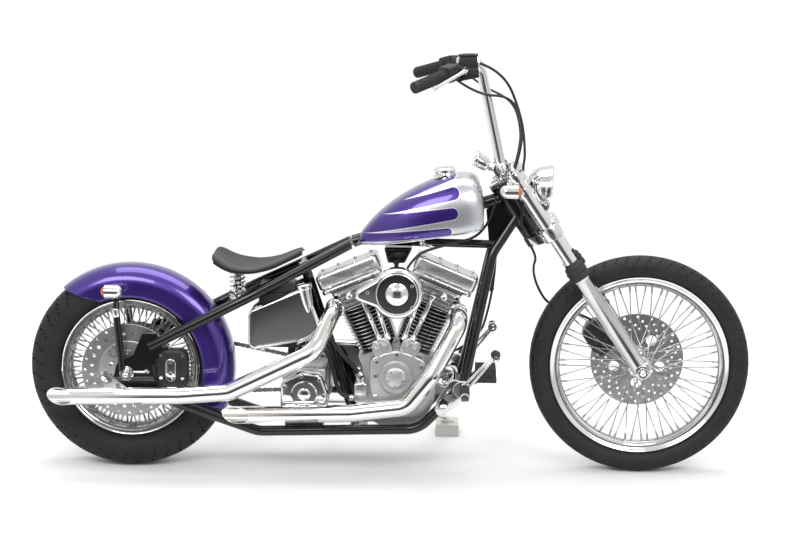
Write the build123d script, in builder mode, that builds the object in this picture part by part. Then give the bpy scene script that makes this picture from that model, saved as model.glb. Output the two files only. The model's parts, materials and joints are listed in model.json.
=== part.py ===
"""Rigid-frame chopper motorcycle with an air-cooled V-twin, built as separate named pieces.

Every piece is drawn upright in the machine's own frame: X forward from the rear axle, Y to the
left, Z up from the ground. At the end all pieces are leaned onto the side stand together.
"""
import math
import os

from build123d import *

os.makedirs("parts", exist_ok=True)

# Driving dimensions, in millimetres
WHEELBASE = 1583.0
REAR_TYRE_R = 315.0
REAR_TYRE_HALF = 65.0
REAR_FLANGE_R = 217.0
REAR_RIM_HALF = 45.0
FRONT_TYRE_R = 341.0
FRONT_TYRE_HALF = 43.0
FRONT_FLANGE_R = 280.0
FRONT_RIM_HALF = 31.0
RIM_DEPTH = 15.0
DISC_R = 146.0
DISC_SLOT = 6.0
DISC_THICK = 6.0
REAR_DISC_Y = -77.0
FRONT_DISC_Y = 60.0
AXLE_R = 9.5
BEARING_GAP = 0.05
SPOKE_R = 2.1
BODY_GAP = 0.3

LEAN = 3.5
RAKE = 34.0
STEM_OFFSET = 55.0
FORK_HALF = 100.0
FORK_TUBE_R = 20.5
SLIDER_R = 27.0
SLIDER_TOP = 380.0
LOWER_CLAMP = (497.0, 527.0)
UPPER_CLAMP = (700.0, 722.0)
STEM_R = 14.0
NECK_R = 30.0

FRAME_TUBE_R = 16.0
BACKBONE_R = 19.0
TANK_GAP = 5.0
FRAME_HALF = 115.0
RAIL_BEND = 90.0

FENDER_GAP = 8.0
FENDER_WALL = 3.0
FENDER_R = REAR_TYRE_R + FENDER_GAP + FENDER_WALL
FENDER_HALF = REAR_TYRE_HALF + FENDER_GAP + FENDER_WALL
FENDER_SKIRT_R = REAR_FLANGE_R + 12.0

CRANK = (828.0, 262.0)
CYLINDER_ANGLE = 22.5
CYLINDER_BASE = 140.0
CYLINDER_HEIGHT = 150.0
HEAD_HEIGHT = 64.0
ROCKER_HEIGHT = 62.0
HEAD_BASE = CYLINDER_BASE + CYLINDER_HEIGHT
ROCKER_BASE = HEAD_BASE + HEAD_HEIGHT
FIN_R = 72.0
FIN_ROOT_R = 61.0
FIN_STEP = 12.0
FIN_THICK = 4.5
FINS = 12
HEAD_ROOT = 9.0
HEAD_HALF = 71.0
V_GAP = 3.0
CASE_HALF = 72.0

PIPE_R = 27.0
PIPE_WALL = 2.0
BAR_R = 15.9
GRIP_BAR_R = 12.7
HOSE_R = 4.0
CABLE_R = 3.5
BLOCK_HEIGHT = 38.0
HOSE_REACH = 0.45

STAND_PIVOT = Vector(900, 152, 152)
STAND_PIN_R = 6.0
STAND_FOOT = Vector(990, 345, 70)
STAND_FOLDED = Vector(-0.94, 0.22, 0.28)
STAND_AXIS = (STAND_FOOT - STAND_PIVOT).cross(STAND_FOLDED).normalized()

REAR_AXLE = Vector(0, 0, REAR_TYRE_R)
FRONT_AXLE = Vector(WHEELBASE, 0, FRONT_TYRE_R)
LEG = Vector(-math.sin(math.radians(RAKE)), 0, math.cos(math.radians(RAKE)))
AHEAD = Vector(math.cos(math.radians(RAKE)), 0, math.sin(math.radians(RAKE)))
FORK = Plane(origin=FRONT_AXLE, x_dir=AHEAD, z_dir=LEG)
REAR_SPIN = Axis(REAR_AXLE, (0, 1, 0))
FRONT_SPIN = Axis(FRONT_AXLE, (0, 1, 0))


def fork_point(ahead, side, along):
    """Gives the point at a distance ahead of, beside and up the fork line from the front axle."""
    return FRONT_AXLE + AHEAD * ahead + Vector(0, side, 0) + LEG * along


def cylinder_point(bank, across, side, along):
    """Gives a point on a cylinder bank: bank is -1 for the rear one and +1 for the front one."""
    lean = math.radians(CYLINDER_ANGLE) * bank
    x = CRANK[0] + along * math.sin(lean) + across * math.cos(lean)
    z = CRANK[1] + along * math.cos(lean) - across * math.sin(lean)
    return Vector(x, side, z)


def cylinder_plane(bank, along):
    """Gives the plane across a cylinder bank at a height above the crank."""
    lean = math.radians(CYLINDER_ANGLE) * bank
    up = Vector(math.sin(lean), 0, math.cos(lean))
    across = Vector(math.cos(lean), 0, -math.sin(lean))
    return Plane(origin=cylinder_point(bank, 0, 0, along), x_dir=across, z_dir=up)


def bar(start, end, radius, mode=Mode.ADD):
    """Adds a straight round bar to the part being built."""
    run = Vector(end) - Vector(start)
    with BuildSketch(Plane(origin=start, z_dir=run)) as section:
        Circle(radius)
    extrude(section.sketch, amount=run.length, mode=mode)


def rod(points, radius, bend, mode=Mode.ADD):
    """Adds a round bar along a route with rounded corners to the part being built."""
    with BuildLine() as route:
        FilletPolyline(*points, radius=bend)
    with BuildSketch(Plane(origin=route.line @ 0, z_dir=route.line % 0)) as section:
        Circle(radius)
    sweep(sections=section.sketch, path=route.line, mode=mode)


def hose(points, radius):
    """Adds a hose along a route of straight runs, joined by the largest tangent arcs that fit."""
    points = [Vector(point) for point in points]
    with BuildLine() as route:
        here = points[0]
        for before, corner, after in zip(points, points[1:], points[2:]):
            back = before - corner
            onward = after - corner
            reach = HOSE_REACH * min(back.length, onward.length)
            half = math.radians(back.get_angle(onward)) / 2
            depth = reach / math.cos(half) - reach * math.tan(half)
            start = corner + back.normalized() * reach
            end = corner + onward.normalized() * reach
            middle = corner + (back.normalized() + onward.normalized()).normalized() * depth
            Line(here, start)
            ThreePointArc(start, middle, end)
            here = end
        Line(here, points[-1])
    with BuildSketch(Plane(origin=points[0], z_dir=points[1] - points[0])) as section:
        Circle(radius)
    sweep(sections=section.sketch, path=route.line)


def slab(points, near, far, mode=Mode.ADD):
    """Adds a flat piece with a side-view outline of (x, z) points, from y = near to y = far."""
    with BuildSketch(Plane.XZ.offset(-near)) as section:
        with BuildLine():
            Polyline(*points, close=True)
        make_face()
    extrude(section.sketch, amount=near - far, mode=mode)


def cap(start, apex):
    """Adds the arc of a ball that runs from a point of a profile to an apex on the axis."""
    (start_x, start_r), apex_x = start, apex[0]
    reach = apex_x - start_x
    ball = (start_r**2 + reach**2) / (2 * reach)
    centre = apex_x - ball
    first = math.atan2(start_r, start_x - centre)
    turn = first / 2 if reach > 0 else (first + math.pi) / 2
    ThreePointArc(start, (centre + abs(ball) * math.cos(turn), abs(ball) * math.sin(turn)), apex)


# Frame
NECK_SPAN = (LOWER_CLAMP[1] + BODY_GAP, UPPER_CLAMP[0] - BODY_GAP)
BACKBONE_REAR = (690, 0, 716)
with BuildPart() as frame_spine:
    bar(BACKBONE_REAR, (1160, 0, 862), BACKBONE_R)
    bar((745, 0, 718), (1125, 0, 712), 13)
    bar((1040, -32, 825), (1040, 32, 825), 6)
    bar((780, -32, 744), (780, 32, 744), 6)
    slab([(1112, 700), (1140, 700), (1200, 815), (1150, 870), (1100, 820)], -7, 7)
    bar(fork_point(-STEM_OFFSET, 0, NECK_SPAN[0]), fork_point(-STEM_OFFSET, 0, NECK_SPAN[1]), NECK_R)
    bar(
        fork_point(-STEM_OFFSET, 0, NECK_SPAN[0] - 1),
        fork_point(-STEM_OFFSET, 0, NECK_SPAN[1] + 1),
        STEM_R + BEARING_GAP,
        mode=Mode.SUBTRACT,
    )

# bottom rail table: x, share of the frame's half width, z
RAIL = [
    (78, 1.0, REAR_TYRE_R - 65),
    (405, 1.0, 137),
    (900, 1.0, 150),
    (1036, 1.0, 290),
    (1120, 0.365, 690),
    (1192, 0.12, 800),
]
with BuildPart() as frame_rails:
    for side in (-1, 1):
        rod([(x, side * share * FRAME_HALF, z) for x, share, z in RAIL], FRAME_TUBE_R, RAIL_BEND)
    ear = Plane(STAND_PIVOT - STAND_AXIS * (18 + BODY_GAP), x_dir=(1, 0, 0), z_dir=STAND_AXIS)
    with BuildSketch(ear) as lug:
        Circle(17)
        with Locations((0, -18)):
            Rectangle(34, 36)
    extrude(lug.sketch, amount=7)
    bar(STAND_PIVOT - STAND_AXIS * 16, STAND_PIVOT + STAND_AXIS * 15, STAND_PIN_R)
    bar(STAND_PIVOT + STAND_AXIS * (11 + BODY_GAP), STAND_PIVOT + STAND_AXIS * 17, 11)
    add(frame_spine.part, mode=Mode.SUBTRACT)
    bar(fork_point(-STEM_OFFSET, 0, 480), fork_point(-STEM_OFFSET, 0, 800), NECK_R, mode=Mode.SUBTRACT)

# axle plate outline, measured from the rear axle
PLATE = [
    (-42, -15), (-30, 30), (20, 57), (50, 125), (95, 125),
    (110, 80), (70, 15), (100, -53), (62, -90), (10, -53),
]
STAY_FRONT = (682, 34, 712)
STAY_BEND = (360, 548)
with BuildPart() as frame_stays:
    for side in (-1, 1):
        y = FRAME_HALF * side
        rod(
            [
                (70, y, REAR_TYRE_R + 83),
                (STAY_BEND[0], y, STAY_BEND[1]),
                (STAY_FRONT[0], STAY_FRONT[1] * side, STAY_FRONT[2]),
            ],
            FRAME_TUBE_R,
            400,
        )
        slab([(x, REAR_TYRE_R + z) for x, z in PLATE], y - 5, y + 5)
    bar((0, -150, REAR_TYRE_R), (0, 150, REAR_TYRE_R), AXLE_R, mode=Mode.SUBTRACT)
    add(frame_spine.part, mode=Mode.SUBTRACT)
    add(frame_rails.part, mode=Mode.SUBTRACT)

POST_CROSS_X = 538.0
post_share = (POST_CROSS_X - STAY_BEND[0]) / (STAY_FRONT[0] - STAY_BEND[0])
POST_CROSS_HALF = FRAME_HALF + post_share * (STAY_FRONT[1] - FRAME_HALF)
with BuildPart() as frame_seat_post:
    bar((536, 0, 650), (700, 0, 158), FRAME_TUBE_R)
# cross tube table: x, z, half length, radius
CROSS_TUBES = [
    (700, 144, FRAME_HALF, 14),
    (POST_CROSS_X, 642, POST_CROSS_HALF, 12),
    (330, 533, FRAME_HALF, 12),
    (1030, 272, FRAME_HALF, 12),
]
with BuildPart() as frame_cross_tubes:
    for x, z, half, radius in CROSS_TUBES:
        bar((x, -half, z), (x, half, z), radius)
    add(frame_seat_post.part, mode=Mode.SUBTRACT)
    add(frame_rails.part, mode=Mode.SUBTRACT)
    add(frame_stays.part, mode=Mode.SUBTRACT)

# Rear wheel
WHEELS = {
    "rear": (REAR_AXLE, REAR_SPIN, REAR_TYRE_R, REAR_TYRE_HALF, REAR_FLANGE_R, REAR_RIM_HALF),
    "front": (FRONT_AXLE, FRONT_SPIN, FRONT_TYRE_R, FRONT_TYRE_HALF, FRONT_FLANGE_R, FRONT_RIM_HALF),
}
# tyre outline: share of the tyre's height above the rim, share of its half width
TYRE_SIDE = [(0.46, 1.0), (0.86, 0.76), (1.0, 0.06)]
tyres = {}
rims = {}
for name, (axle, spin, tyre_r, tyre_half, flange_r, rim_half) in WHEELS.items():
    seat_r = flange_r - RIM_DEPTH
    bead = rim_half - 7
    flank = [(seat_r, bead), (flange_r + 1, bead)]
    for height, width in TYRE_SIDE:
        flank.append((flange_r + height * (tyre_r - flange_r), width * tyre_half))
    with BuildPart() as tyre:
        with BuildSketch(Plane(origin=axle, x_dir=(1, 0, 0), z_dir=(0, 0, 1))):
            with BuildLine():
                Polyline(*flank, *[(r, -half) for r, half in reversed(flank)], close=True)
            make_face()
        revolve(axis=spin)
    with BuildPart() as rim:
        with BuildSketch(Plane(origin=axle, x_dir=(1, 0, 0), z_dir=(0, 0, 1))):
            with BuildLine():
                Polyline(
                    (flange_r, -rim_half),
                    (flange_r, -bead),
                    (seat_r, -bead),
                    (seat_r, -bead * 0.62),
                    (seat_r - 14, -bead * 0.4),
                    (seat_r - 14, bead * 0.4),
                    (seat_r, bead * 0.62),
                    (seat_r, bead),
                    (flange_r, bead),
                    (flange_r, rim_half),
                    (seat_r - 4, rim_half - 5),
                    (seat_r - 19, bead * 0.42),
                    (seat_r - 19, -bead * 0.42),
                    (seat_r - 4, 5 - rim_half),
                    close=True,
                )
            make_face()
        revolve(axis=spin)
        add(tyre.part, mode=Mode.SUBTRACT)
    tyres[name] = tyre
    rims[name] = rim

HUBS = {
    "rear": (REAR_AXLE, 55.0, 34.0, 30.0, 47.0),
    "front": (FRONT_AXLE, 50.0, 30.0, 22.0, 38.0),
}
hubs = {}
for name, (axle, hub_half, flange_y, barrel_r, flange_hub_r) in HUBS.items():
    with BuildPart() as hub:
        bar(axle - Vector(0, hub_half, 0), axle + Vector(0, hub_half, 0), barrel_r)
        for side in (-1, 1):
            inner = axle + Vector(0, side * flange_y, 0)
            bar(inner, inner + Vector(0, side * 8, 0), flange_hub_r)
        bar(
            axle - Vector(0, hub_half + 1, 0),
            axle + Vector(0, hub_half + 1, 0),
            AXLE_R + BEARING_GAP,
            mode=Mode.SUBTRACT,
        )
    hubs[name] = hub

# spoke table: wheel name -> number of spokes a side, hub radius, hub y, rim radius, rim y, lean angle
SPOKES = {
    "rear": (20, 42.0, 38.0, REAR_FLANGE_R - RIM_DEPTH - 18.0, 6.0, 42.0),
    "front": (15, 33.0, 34.0, FRONT_FLANGE_R - RIM_DEPTH - 18.0, 4.0, 38.0),
}
spokes = {}
for name, (pairs, hub_r, hub_y, rim_r, rim_y, lean) in SPOKES.items():
    axle = WHEELS[name][0]
    lengths = []
    for side in (-1, 1):
        for step in range(pairs):
            for way in (-1, 1):
                hub_turn = math.radians(360 * (step + 0.25 * side + 0.08 * way) / pairs)
                rim_turn = hub_turn + math.radians(lean * way)
                low_y = side * (hub_y + 2 * way)
                low = axle + Vector(hub_r * math.cos(hub_turn), low_y, hub_r * math.sin(hub_turn))
                high = axle + Vector(rim_r * math.cos(rim_turn), side * rim_y, rim_r * math.sin(rim_turn))
                with BuildSketch(Plane(origin=low, z_dir=high - low)) as section:
                    RegularPolygon(SPOKE_R, 6)
                lengths.append(extrude(section.sketch, amount=(high - low).length, mode=Mode.PRIVATE))
    with BuildPart() as laced:
        add(lengths)
    spokes[name] = laced

DISCS = {
    "rear": (REAR_AXLE, REAR_DISC_Y, 30.0),
    "front": (FRONT_AXLE, FRONT_DISC_Y, 22.0),
}
discs = {}
for name, (axle, disc_y, bore_r) in DISCS.items():
    side = math.copysign(1, disc_y)
    with BuildPart() as disc:
        start = axle + Vector(0, disc_y - DISC_THICK / 2, 0)
        bar(start, start + Vector(0, DISC_THICK, 0), DISC_R)
        hub_face = HUBS[name][2] + 8
        bar(axle + Vector(0, side * hub_face, 0), axle + Vector(0, disc_y, 0), 44)
        bar(axle, axle + Vector(0, disc_y + side * 10, 0), HUBS[name][3], mode=Mode.SUBTRACT)
        add(hubs[name].part, mode=Mode.SUBTRACT)
    discs[name] = disc

SPROCKET_R = 108.0
CHAIN_Y = (80.0, 94.0)
with BuildPart() as rear_sprocket:
    bar((0, CHAIN_Y[0] + 3, REAR_TYRE_R), (0, CHAIN_Y[1] - 3, REAR_TYRE_R), SPROCKET_R)
    bar((0, HUBS["rear"][2] + 8, REAR_TYRE_R), (0, CHAIN_Y[0] + 3, REAR_TYRE_R), 44)
    bar((0, 0, REAR_TYRE_R), (0, 120, REAR_TYRE_R), HUBS["rear"][3], mode=Mode.SUBTRACT)

# Rear axle, chain and brake
with BuildPart() as rear_axle:
    bar((0, -144, REAR_TYRE_R), (0, 144, REAR_TYRE_R), AXLE_R)
    for side in (-1, 1):
        bar((0, side * (HUBS["rear"][1] + BODY_GAP), REAR_TYRE_R), (0, side * 109, REAR_TYRE_R), 15)
        bar((0, side * 121, REAR_TYRE_R), (0, side * 139, REAR_TYRE_R), 17)
        bar((0, side * 136, REAR_TYRE_R), (0, side * 150, REAR_TYRE_R), 12)
    add(frame_stays.part, mode=Mode.SUBTRACT)

GEAR_SPROCKET = (545.0, 272.0, 42.0)
CHAIN_THICK = 12.0
with BuildPart() as drive_chain:
    gap = BODY_GAP
    reach = GEAR_SPROCKET[0]
    drop = GEAR_SPROCKET[1] - REAR_TYRE_R
    slope = math.atan2(drop, reach)
    turn = math.acos((SPROCKET_R - GEAR_SPROCKET[2]) / math.hypot(reach, drop))
    with BuildSketch(Plane.XZ.offset(-CHAIN_Y[1])) as loop:
        for radius_add, mode in ((CHAIN_THICK + gap, Mode.ADD), (gap, Mode.SUBTRACT)):
            with BuildLine():
                big = SPROCKET_R + radius_add
                small = GEAR_SPROCKET[2] + radius_add
                top = slope + turn
                low = slope - turn
                rear_top = (big * math.cos(top), REAR_TYRE_R + big * math.sin(top))
                rear_low = (big * math.cos(low), REAR_TYRE_R + big * math.sin(low))
                gear_top = (reach + small * math.cos(top), GEAR_SPROCKET[1] + small * math.sin(top))
                gear_low = (reach + small * math.cos(low), GEAR_SPROCKET[1] + small * math.sin(low))
                far = (big * math.cos(slope + math.pi), REAR_TYRE_R + big * math.sin(slope + math.pi))
                nose = (reach + small * math.cos(slope), GEAR_SPROCKET[1] + small * math.sin(slope))
                Line(rear_top, gear_top)
                ThreePointArc(gear_top, nose, gear_low)
                Line(gear_low, rear_low)
                ThreePointArc(rear_low, far, rear_top)
            make_face(mode=mode)
    extrude(amount=CHAIN_Y[1] - CHAIN_Y[0])

DISC_CLEAR = DISC_THICK / 2 + DISC_SLOT
# caliper outline, measured from the rear axle
CALIPER_SIDE = [(78, 37), (110, 69), (170, 69), (186, 40), (186, -30), (172, -45), (98, -47), (84, -25)]
with BuildPart() as rear_caliper:
    slab([(x, REAR_TYRE_R + z) for x, z in CALIPER_SIDE], REAR_DISC_Y - 27, REAR_DISC_Y + 27)
    bar(
        (0, REAR_DISC_Y - DISC_CLEAR, REAR_TYRE_R),
        (0, REAR_DISC_Y + DISC_CLEAR, REAR_TYRE_R),
        DISC_R + DISC_SLOT + 2,
        mode=Mode.SUBTRACT,
    )
    arm = [(20, 17), (92, 21), (92, -19), (20, -17)]
    slab([(x, REAR_TYRE_R + z) for x, z in arm], REAR_DISC_Y - 27, REAR_DISC_Y - 17)
    bar((0, REAR_DISC_Y - 27, REAR_TYRE_R), (0, REAR_DISC_Y - 17, REAR_TYRE_R), 28)
    add(rear_axle.part, mode=Mode.SUBTRACT)
    add(frame_stays.part, mode=Mode.SUBTRACT)

# Fender, struts and rear signals
FENDER_START = -24.0
FENDER_END = 132.0
start_turn = math.radians(FENDER_START)
front_edge = (math.cos(start_turn), 0, math.sin(start_turn))
# tail cut table: distance from the axle, angle
TAIL_CUT = [
    (FENDER_R + 40, 150),
    (FENDER_R + 3, 130.5),
    (FENDER_SKIRT_R + 28, 120),
    (FENDER_SKIRT_R - 8, 108),
    (60, 150),
]
tail_points = []
for reach, degrees in TAIL_CUT:
    turn = math.radians(degrees)
    tail_points.append((reach * math.cos(turn), REAR_TYRE_R + reach * math.sin(turn)))
with BuildPart() as rear_fender:
    with BuildSketch(Plane(REAR_AXLE, x_dir=front_edge, z_dir=(-front_edge[2], 0, front_edge[0]))):
        for wall, mode in ((0.0, Mode.ADD), (FENDER_WALL, Mode.SUBTRACT)):
            half = FENDER_HALF - wall
            edge = FENDER_SKIRT_R - 2 * wall
            with BuildLine():
                Line((edge, -half), (FENDER_R - 58, -half))
                crown = (FENDER_R - wall, 0)
                ThreePointArc((FENDER_R - 58, -half), (FENDER_R - 18 - wall, -0.68 * half), crown)
                ThreePointArc(crown, (FENDER_R - 18 - wall, 0.68 * half), (FENDER_R - 58, half))
                Line((FENDER_R - 58, half), (edge, half))
                Line((edge, half), (edge, -half))
            make_face(mode=mode)
    revolve(axis=Axis(REAR_AXLE, (0, -1, 0)), revolution_arc=FENDER_END - FENDER_START)
    slab(tail_points, -FENDER_HALF - 5, FENDER_HALF + 5, mode=Mode.SUBTRACT)

SIGNAL_R = 21.0
REAR_SIGNAL = (-38, 128, REAR_TYRE_R + 256)
with BuildPart() as fender_struts:
    for side in (-1, 1):
        foot = (-12, side * (FRAME_HALF + 9), REAR_TYRE_R + 7)
        knee = (-32, side * 108, REAR_TYRE_R + 190)
        bar(foot, knee, 11)
        bar(knee, (-36, side * (FENDER_HALF - 1), REAR_TYRE_R + 225), 9)
        bar((-34, side * (FENDER_HALF + 2), REAR_TYRE_R + 226), (-38, side * 122, REAR_TYRE_R + 241), 8)
    add(rear_fender.part, mode=Mode.SUBTRACT)
    add(frame_stays.part, mode=Mode.SUBTRACT)
    add(rear_axle.part, mode=Mode.SUBTRACT)
    for side in (-1, 1):
        x, y, z = REAR_SIGNAL
        bar((x - 24, side * y, z), (x + 30, side * y, z), SIGNAL_R, mode=Mode.SUBTRACT)

FRONT_SIGNAL = (1168, 158, 897)
signal_housings = {}
signal_lenses = {}
for name, (x, y, z), nose in (("rear", REAR_SIGNAL, 1), ("front", FRONT_SIGNAL, -1)):
    with BuildPart() as housing:
        for side in (-1, 1):
            with BuildSketch(Plane((x, side * y, z), x_dir=(nose, 0, 0), z_dir=(0, -1, 0))):
                with BuildLine():
                    Polyline((-24, 0), (-24, SIGNAL_R), (10, SIGNAL_R))
                    cap((10, SIGNAL_R), (10 + SIGNAL_R, 0))
                    Line((10 + SIGNAL_R, 0), (-24, 0))
                make_face()
            revolve(axis=Axis((x, side * y, z), (1, 0, 0)))
    with BuildPart() as lens:
        for side in (-1, 1):
            with BuildSketch(Plane((x, side * y, z), x_dir=(nose, 0, 0), z_dir=(0, -1, 0))):
                with BuildLine():
                    cap((-24, 17), (-37, 0))
                    Polyline((-37, 0), (-24, 0), (-24, 17))
                make_face()
            revolve(axis=Axis((x, side * y, z), (1, 0, 0)))
    signal_housings[name] = housing
    signal_lenses[name] = lens

# Tank and seat
# tank section table: x, half width, bottom z, top z
TANK_SECTIONS = [
    (702, 26, 704, 714),
    (716, 42, 710, 751),
    (773, 80, 717, 814),
    (849, 107, 727, 871),
    (926, 118, 741, 910),
    (987, 121, 752, 932),
    (1048, 117, 762, 936),
    (1073, 110, 766, 924),
    (1086, 104, 769, 889),
    (1094, 94, 781, 840),
]
# tank section outline: share of the half width, share of the height
TANK_ROUND = [(0.86, 0.0), (1.0, 0.14), (1.0, 0.42), (0.91, 0.7), (0.66, 0.92), (0.26, 1.0)]
with BuildPart() as fuel_tank:
    for x, half, low, high in TANK_SECTIONS:
        right = [(half * wide, low + (high - low) * tall) for wide, tall in TANK_ROUND]
        with BuildSketch(Plane.YZ.offset(x)):
            with BuildLine():
                Polyline(*right, *[(-y, z) for y, z in reversed(right)], close=True)
            make_face()
    loft(ruled=True)
    tunnel = BACKBONE_R + TANK_GAP
    bar((640, 0, 700.15), (1200, 0, 874.7), tunnel, mode=Mode.SUBTRACT)
    slab([(690, 690), (1120, 690), (1120, 800), (690, 716)], -tunnel, tunnel, mode=Mode.SUBTRACT)
    add(frame_spine.part, mode=Mode.SUBTRACT)

TANK_CAP = (972, 0, 926)
with BuildPart() as tank_cap:
    bar(TANK_CAP, (969, 0, 954), 34)
    add(fuel_tank.part, mode=Mode.SUBTRACT)

SEAT_SIDE = [
    (255, 672), (262, 680), (295, 650), (342, 634), (388, 633), (448, 650), (508, 678), (536, 690),
    (541, 676), (494, 655), (436, 627), (374, 618), (314, 622), (277, 642),
]
with BuildPart() as seat:
    slab(SEAT_SIDE, -140, 140)
    with BuildSketch(Plane.XY.offset(600)) as plan:
        with BuildLine():
            Polyline((250, 60), (262, 108), (320, 134), (380, 128), (450, 84), (510, 62), (545, 40))
            Line((545, 40), (545, -40))
            Polyline((545, -40), (510, -62), (450, -84), (380, -128), (320, -134), (262, -108), (250, -60))
            Line((250, -60), (250, 60))
        make_face()
    extrude(plan.sketch, amount=110, mode=Mode.INTERSECT)

SPRING_X = 331
SPRING_Y = 60
SPRING_R = 20.0
with BuildPart() as seat_springs:
    for side in (-1, 1):
        bar((SPRING_X, side * SPRING_Y, 533), (SPRING_X, side * SPRING_Y, 624), 6)
        for coil in range(5):
            with BuildSketch(Plane((SPRING_X, side * SPRING_Y, 549 + 15 * coil))) as turn_of_wire:
                RegularPolygon(SPRING_R, 12)
            extrude(turn_of_wire.sketch, amount=7)
    add(seat.part, mode=Mode.SUBTRACT)
    add(frame_cross_tubes.part, mode=Mode.SUBTRACT)

# Engine
with BuildPart() as crankcase:
    with BuildSketch(Plane.XZ.offset(-CASE_HALF)) as outline:
        with Locations(CRANK):
            Circle(122)
        for bank in (-1, 1):
            with Locations(Location((CRANK[0], CRANK[1]), -CYLINDER_ANGLE * bank)):
                with Locations((0, CYLINDER_BASE / 2)):
                    Rectangle(136, CYLINDER_BASE)
        with BuildLine():
            Polyline((722, 160), (934, 164), (920, 230), (740, 230), close=True)
        make_face()
    extrude(outline.sketch, amount=2 * CASE_HALF)
    slab([(930, 236), (1026, 258), (1032, 288), (930, 306)], -36, 36)
    slab([(690, 140), (740, 142), (740, 200), (706, 200)], -40, 40)
    add(frame_seat_post.part, mode=Mode.SUBTRACT)
    add(frame_cross_tubes.part, mode=Mode.SUBTRACT)

SPLIT = 200.0
barrels = []
for bank in (-1, 1):
    with BuildPart() as barrel:
        bar(cylinder_point(bank, 0, 0, CYLINDER_BASE), cylinder_point(bank, 0, 0, HEAD_BASE), FIN_ROOT_R)
        for fin in range(FINS):
            with BuildSketch(cylinder_plane(bank, CYLINDER_BASE + 9 + FIN_STEP * fin)) as ring:
                RegularPolygon(FIN_R, 24)
            extrude(ring.sketch, amount=FIN_THICK)
        with Locations((CRANK[0] - bank * (SPLIT / 2 - V_GAP), 0, CRANK[1] + SPLIT)):
            Box(SPLIT, 2 * SPLIT, 2 * SPLIT, mode=Mode.SUBTRACT)
    barrels.append(barrel.part)
with BuildPart() as cylinders:
    add(barrels)
    add(crankcase.part, mode=Mode.SUBTRACT)

# head fin table: height above the gasket, thickness
HEAD_FINS = [(0, 6), (14, 5), (27, 5), (40, 5), (53, 11)]
HEAD_WIDTH = 156.0
with BuildPart() as cylinder_heads:
    for bank in (-1, 1):
        with BuildSketch(cylinder_plane(bank, HEAD_BASE)) as core:
            Rectangle(2 * (HEAD_HALF - HEAD_ROOT), HEAD_WIDTH - 2 * HEAD_ROOT)
        extrude(core.sketch, amount=HEAD_HEIGHT)
        for height, thick in HEAD_FINS:
            with BuildSketch(cylinder_plane(bank, HEAD_BASE + height)) as fin_plate:
                Rectangle(2 * HEAD_HALF, HEAD_WIDTH)
                chamfer(fin_plate.vertices(), 16)
            extrude(fin_plate.sketch, amount=thick)

# rocker cover table: height above its base, thickness, length, width
ROCKER_LAYERS = [
    (0, 16, 204, 128),
    (16, 14, 194, 118),
    (30, 8, 202, 126),
    (38, ROCKER_HEIGHT - 38, 190, 114),
]
with BuildPart() as rocker_covers:
    for bank in (-1, 1):
        for height, thick, length, width in ROCKER_LAYERS:
            with BuildSketch(cylinder_plane(bank, ROCKER_BASE + height)) as layer:
                RectangleRounded(length, width, 18)
            extrude(layer.sketch, amount=thick)

COVER_SIDE = [
    (738, 295), (759, 368), (768, 412), (817, 440), (865, 432), (914, 405), (930, 384),
    (905, 300), (880, 244), (788, 239),
]
with BuildPart() as cam_cover:
    slab(COVER_SIDE, -122, -CASE_HALF)
    bar((827, -136, 319), (827, -CASE_HALF, 319), 50)
    add(cylinders.part, mode=Mode.SUBTRACT)

# push rod table: bank, foot ahead of the crank, foot above the crank, top across the head
PUSH_RODS = [(-1, -50, 166, 11), (-1, -25, 170, 49), (1, 25, 170, -49), (1, 50, 166, -11)]
with BuildPart() as push_rod_tubes:
    for bank, foot_x, foot_z, across in PUSH_RODS:
        foot = Vector(CRANK[0] + foot_x, -106, CRANK[1] + foot_z)
        bar(foot, cylinder_point(bank, across, -84, HEAD_BASE + 28), 9)
    add(cam_cover.part, mode=Mode.SUBTRACT)
    add(cylinders.part, mode=Mode.SUBTRACT)
    add(cylinder_heads.part, mode=Mode.SUBTRACT)

INTAKE_Z = CRANK[1] + HEAD_BASE + 28
CLEANER = (832, INTAKE_Z + 12)
with BuildPart() as air_cleaner:
    with BuildSketch(Plane.XZ.offset(165)) as outline:
        with Locations(CLEANER):
            Circle(77)
        with BuildLine():
            Polyline((707, INTAKE_Z + 2), (842, INTAKE_Z + 88), (790, INTAKE_Z - 52), close=True)
        make_face()
    extrude(outline.sketch, amount=58)
    with BuildSketch(Plane.XZ.offset(223)) as dome:
        with Locations(CLEANER):
            Circle(58)
    extrude(dome.sketch, amount=14, taper=20)

# throttle cable from the neck to the carburettor: x, y, z
THROTTLE_UNDER_TANK = [
    (1128, -46, 865), (1110, -42, 748), (960, -66, 716), (872, -108, 690), (836, -118, 604),
]
with BuildPart() as carburettor:
    bar((830, -165, INTAKE_Z), (830, -70, INTAKE_Z), 30)
    bar((830, -70, INTAKE_Z), (830, 0, INTAKE_Z), 24)
    reach = HEAD_HALF - HEAD_ROOT - 2
    bar(cylinder_point(-1, reach, 0, HEAD_BASE + 32), cylinder_point(1, -reach, 0, HEAD_BASE + 32), 20)
    for y in (0, -9):
        hose([(x, y + side, z) for x, side, z in THROTTLE_UNDER_TANK], CABLE_R)
    add(cylinder_heads.part, mode=Mode.SUBTRACT)
    add(rocker_covers.part, mode=Mode.SUBTRACT)

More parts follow.
